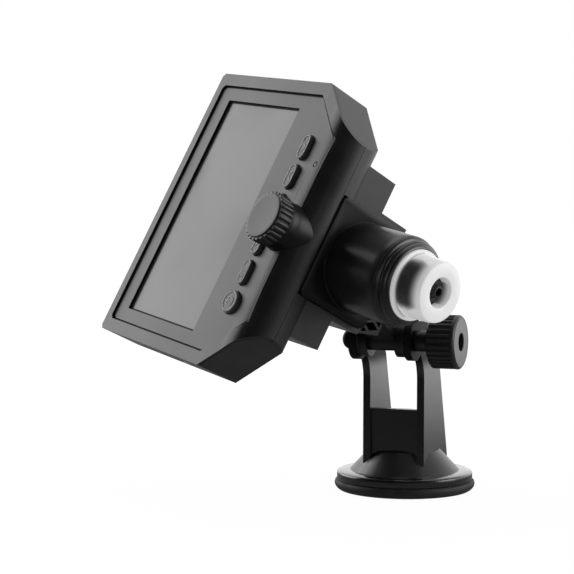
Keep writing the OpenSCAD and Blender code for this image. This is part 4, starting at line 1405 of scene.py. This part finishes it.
@dataclass(frozen=True)
class Paper(Finish):
    """The floor's white paper: its shares and glows go by the place on the floor."""

    tone: float = 0.8
    glow: float = 1.04
    glow_share: Span = (0.10, 0.40, 0.93, 1.0)
    under_front: Span = (-0.30, -0.02, 0.04, 0.20)
    under_right: Span = (0.14, 0.42, 0.0, 0.8)
    under_back: Span = (0.05, 0.50, 0.0, 1.1)

    def shade(self, g: Graph) -> Signal:
        """White paper for the camera, and a dim glow for what mirrors it.

        Args:
            g: The graph that it is drawn in.

        Returns:
            The surface.
        """
        seen, mirrored = g.rays("Camera", "Glossy")
        matt = g.node("ShaderNodeBsdfDiffuse", inputs={"Color": (self.tone,) * 3})
        lit = g.node("ShaderNodeEmission", inputs={
            "Color": (1.0, 1.0, 1.0), "Strength": self.glow})
        far = g.node("ShaderNodeVectorMath", {"operation": "LENGTH"}, {0: g.place()}, "Value")
        x, y, _ = g.axes(g.place())
        below = y.span(*self.under_front) + x.span(*self.under_right) + y.span(*self.under_back)
        dim = g.node("ShaderNodeEmission", inputs={"Color": (1.0, 1.0, 1.0), "Strength": below})
        shown = g.node("ShaderNodeMixShader", inputs={
            0: seen * far.span(*self.glow_share), 1: matt, 2: lit})
        return g.node("ShaderNodeMixShader", inputs={0: mirrored, 1: shown, 2: dim})


@dataclass(frozen=True)
class Softbox:
    """A square lamp that faces a point of the object."""

    name: str
    spot: tuple[float, float, float]
    target: tuple[float, float, float]
    size: tuple[float, float]
    power: float

    def build(self) -> None:
        """Hangs the lamp."""
        light = bpy.data.lights.new(self.name, "AREA")
        light.shape = "RECTANGLE"
        light.size, light.size_y = self.size
        light.energy = self.power
        lamp = linked(self.name, light)
        aim = (Vector(self.target) - Vector(self.spot)).to_track_quat("-Z", "Y")
        lamp.matrix_world = Matrix.Translation(self.spot) @ aim.to_matrix().to_4x4()
        lamp.visible_camera = False


@dataclass
class Studio:
    """Camera, lamps, world and floor."""

    eye: tuple[float, float, float] = (0.2150, -0.6327, 0.1131)
    right: tuple[float, float, float] = (0.9207, 0.3906, -0.0010)
    ahead: tuple[float, float, float] = (-0.3900, 0.9210, -0.0440)
    lens: float = 101.16
    sensor: float = 36.0
    floor_size: float = 12.0
    fill: float = 0.14
    gloss_depth: Span = (-0.35, 0.70, 0.02, 1.30)
    gloss_height: Span = (0.30, 0.90, 1.0, 0.25)
    lamps: tuple[Softbox, ...] = (
        Softbox("left_box", (-1.25, 0.10, 0.62), (-0.05, -0.03, 0.10), (1.1, 1.1), 9.6),
        Softbox("right_box", (1.30, 0.15, 0.42), (0.0, -0.03, 0.09), (0.9, 0.9), 8.0),
        Softbox("top_box", (0.05, 0.25, 1.35), (0.0, -0.03, 0.10), (1.1, 1.1), 3.5),
    )

    def build(self) -> None:
        """Sets the studio up."""
        self.camera()
        for lamp in self.lamps:
            lamp.build()
        self.world()
        self.floor()
        bpy.context.scene.view_settings.view_transform = "Standard"

    def camera(self) -> None:
        """The camera, level with the display."""
        data = bpy.data.cameras.new("camera")
        data.lens = self.lens
        data.sensor_width = self.sensor
        data.sensor_fit = "HORIZONTAL"
        data.clip_start = 0.05
        data.clip_end = 50.0
        shot = linked("camera", data)
        x = Vector(self.right).normalized()
        z = -Vector(self.ahead).normalized()
        y = z.cross(x).normalized()
        x = y.cross(z)
        turned = Matrix((x, y, z)).transposed().to_4x4()
        shot.matrix_world = Matrix.Translation(self.eye) @ turned
        bpy.context.scene.camera = shot

    def world(self) -> None:
        """White for the camera and glass; for gloss, bright behind and dim in front."""
        world = bpy.data.worlds.new("studio")
        world.use_nodes = True
        bpy.context.scene.world = world
        g = Graph(world.node_tree)
        seen, glossy, through = g.rays("Camera", "Glossy", "Transmission")
        _, y, z = g.axes(g.node("ShaderNodeTexCoord", output="Generated"))
        gloss = y.span(*self.gloss_depth) * z.span(*self.gloss_height)
        matt = self.fill * (1 - seen) * (1 - glossy) * (1 - through)
        strength = matt + gloss * glossy + seen + through
        g.finish(g.node("ShaderNodeBackground", inputs={
            "Color": (1.0, 1.0, 1.0), "Strength": strength}), "ShaderNodeOutputWorld")

    def floor(self) -> None:
        """A plain white floor that keeps a faint shadow."""
        bm = bmesh.new()
        bmesh.ops.create_grid(bm, x_segments=1, y_segments=1, size=self.floor_size)
        mesh = bpy.data.meshes.new("floor")
        bm.to_mesh(mesh)
        bm.free()
        mesh.materials.append(Paper("floor_paper").material())
        linked("floor", mesh)


def main() -> None:
    """Builds the part and the studio round it."""
    logging.basicConfig(level=logging.INFO, format="%(name)s %(message)s")
    for part in (Studio(), Housing(), Keys(), FocusDrive(), Barrel(), Base(), Yoke(), Clamp(),
                 Inside()):
        part.build()
        log.info("%s done", type(part).__name__)


if __name__ == "__main__":
    main()
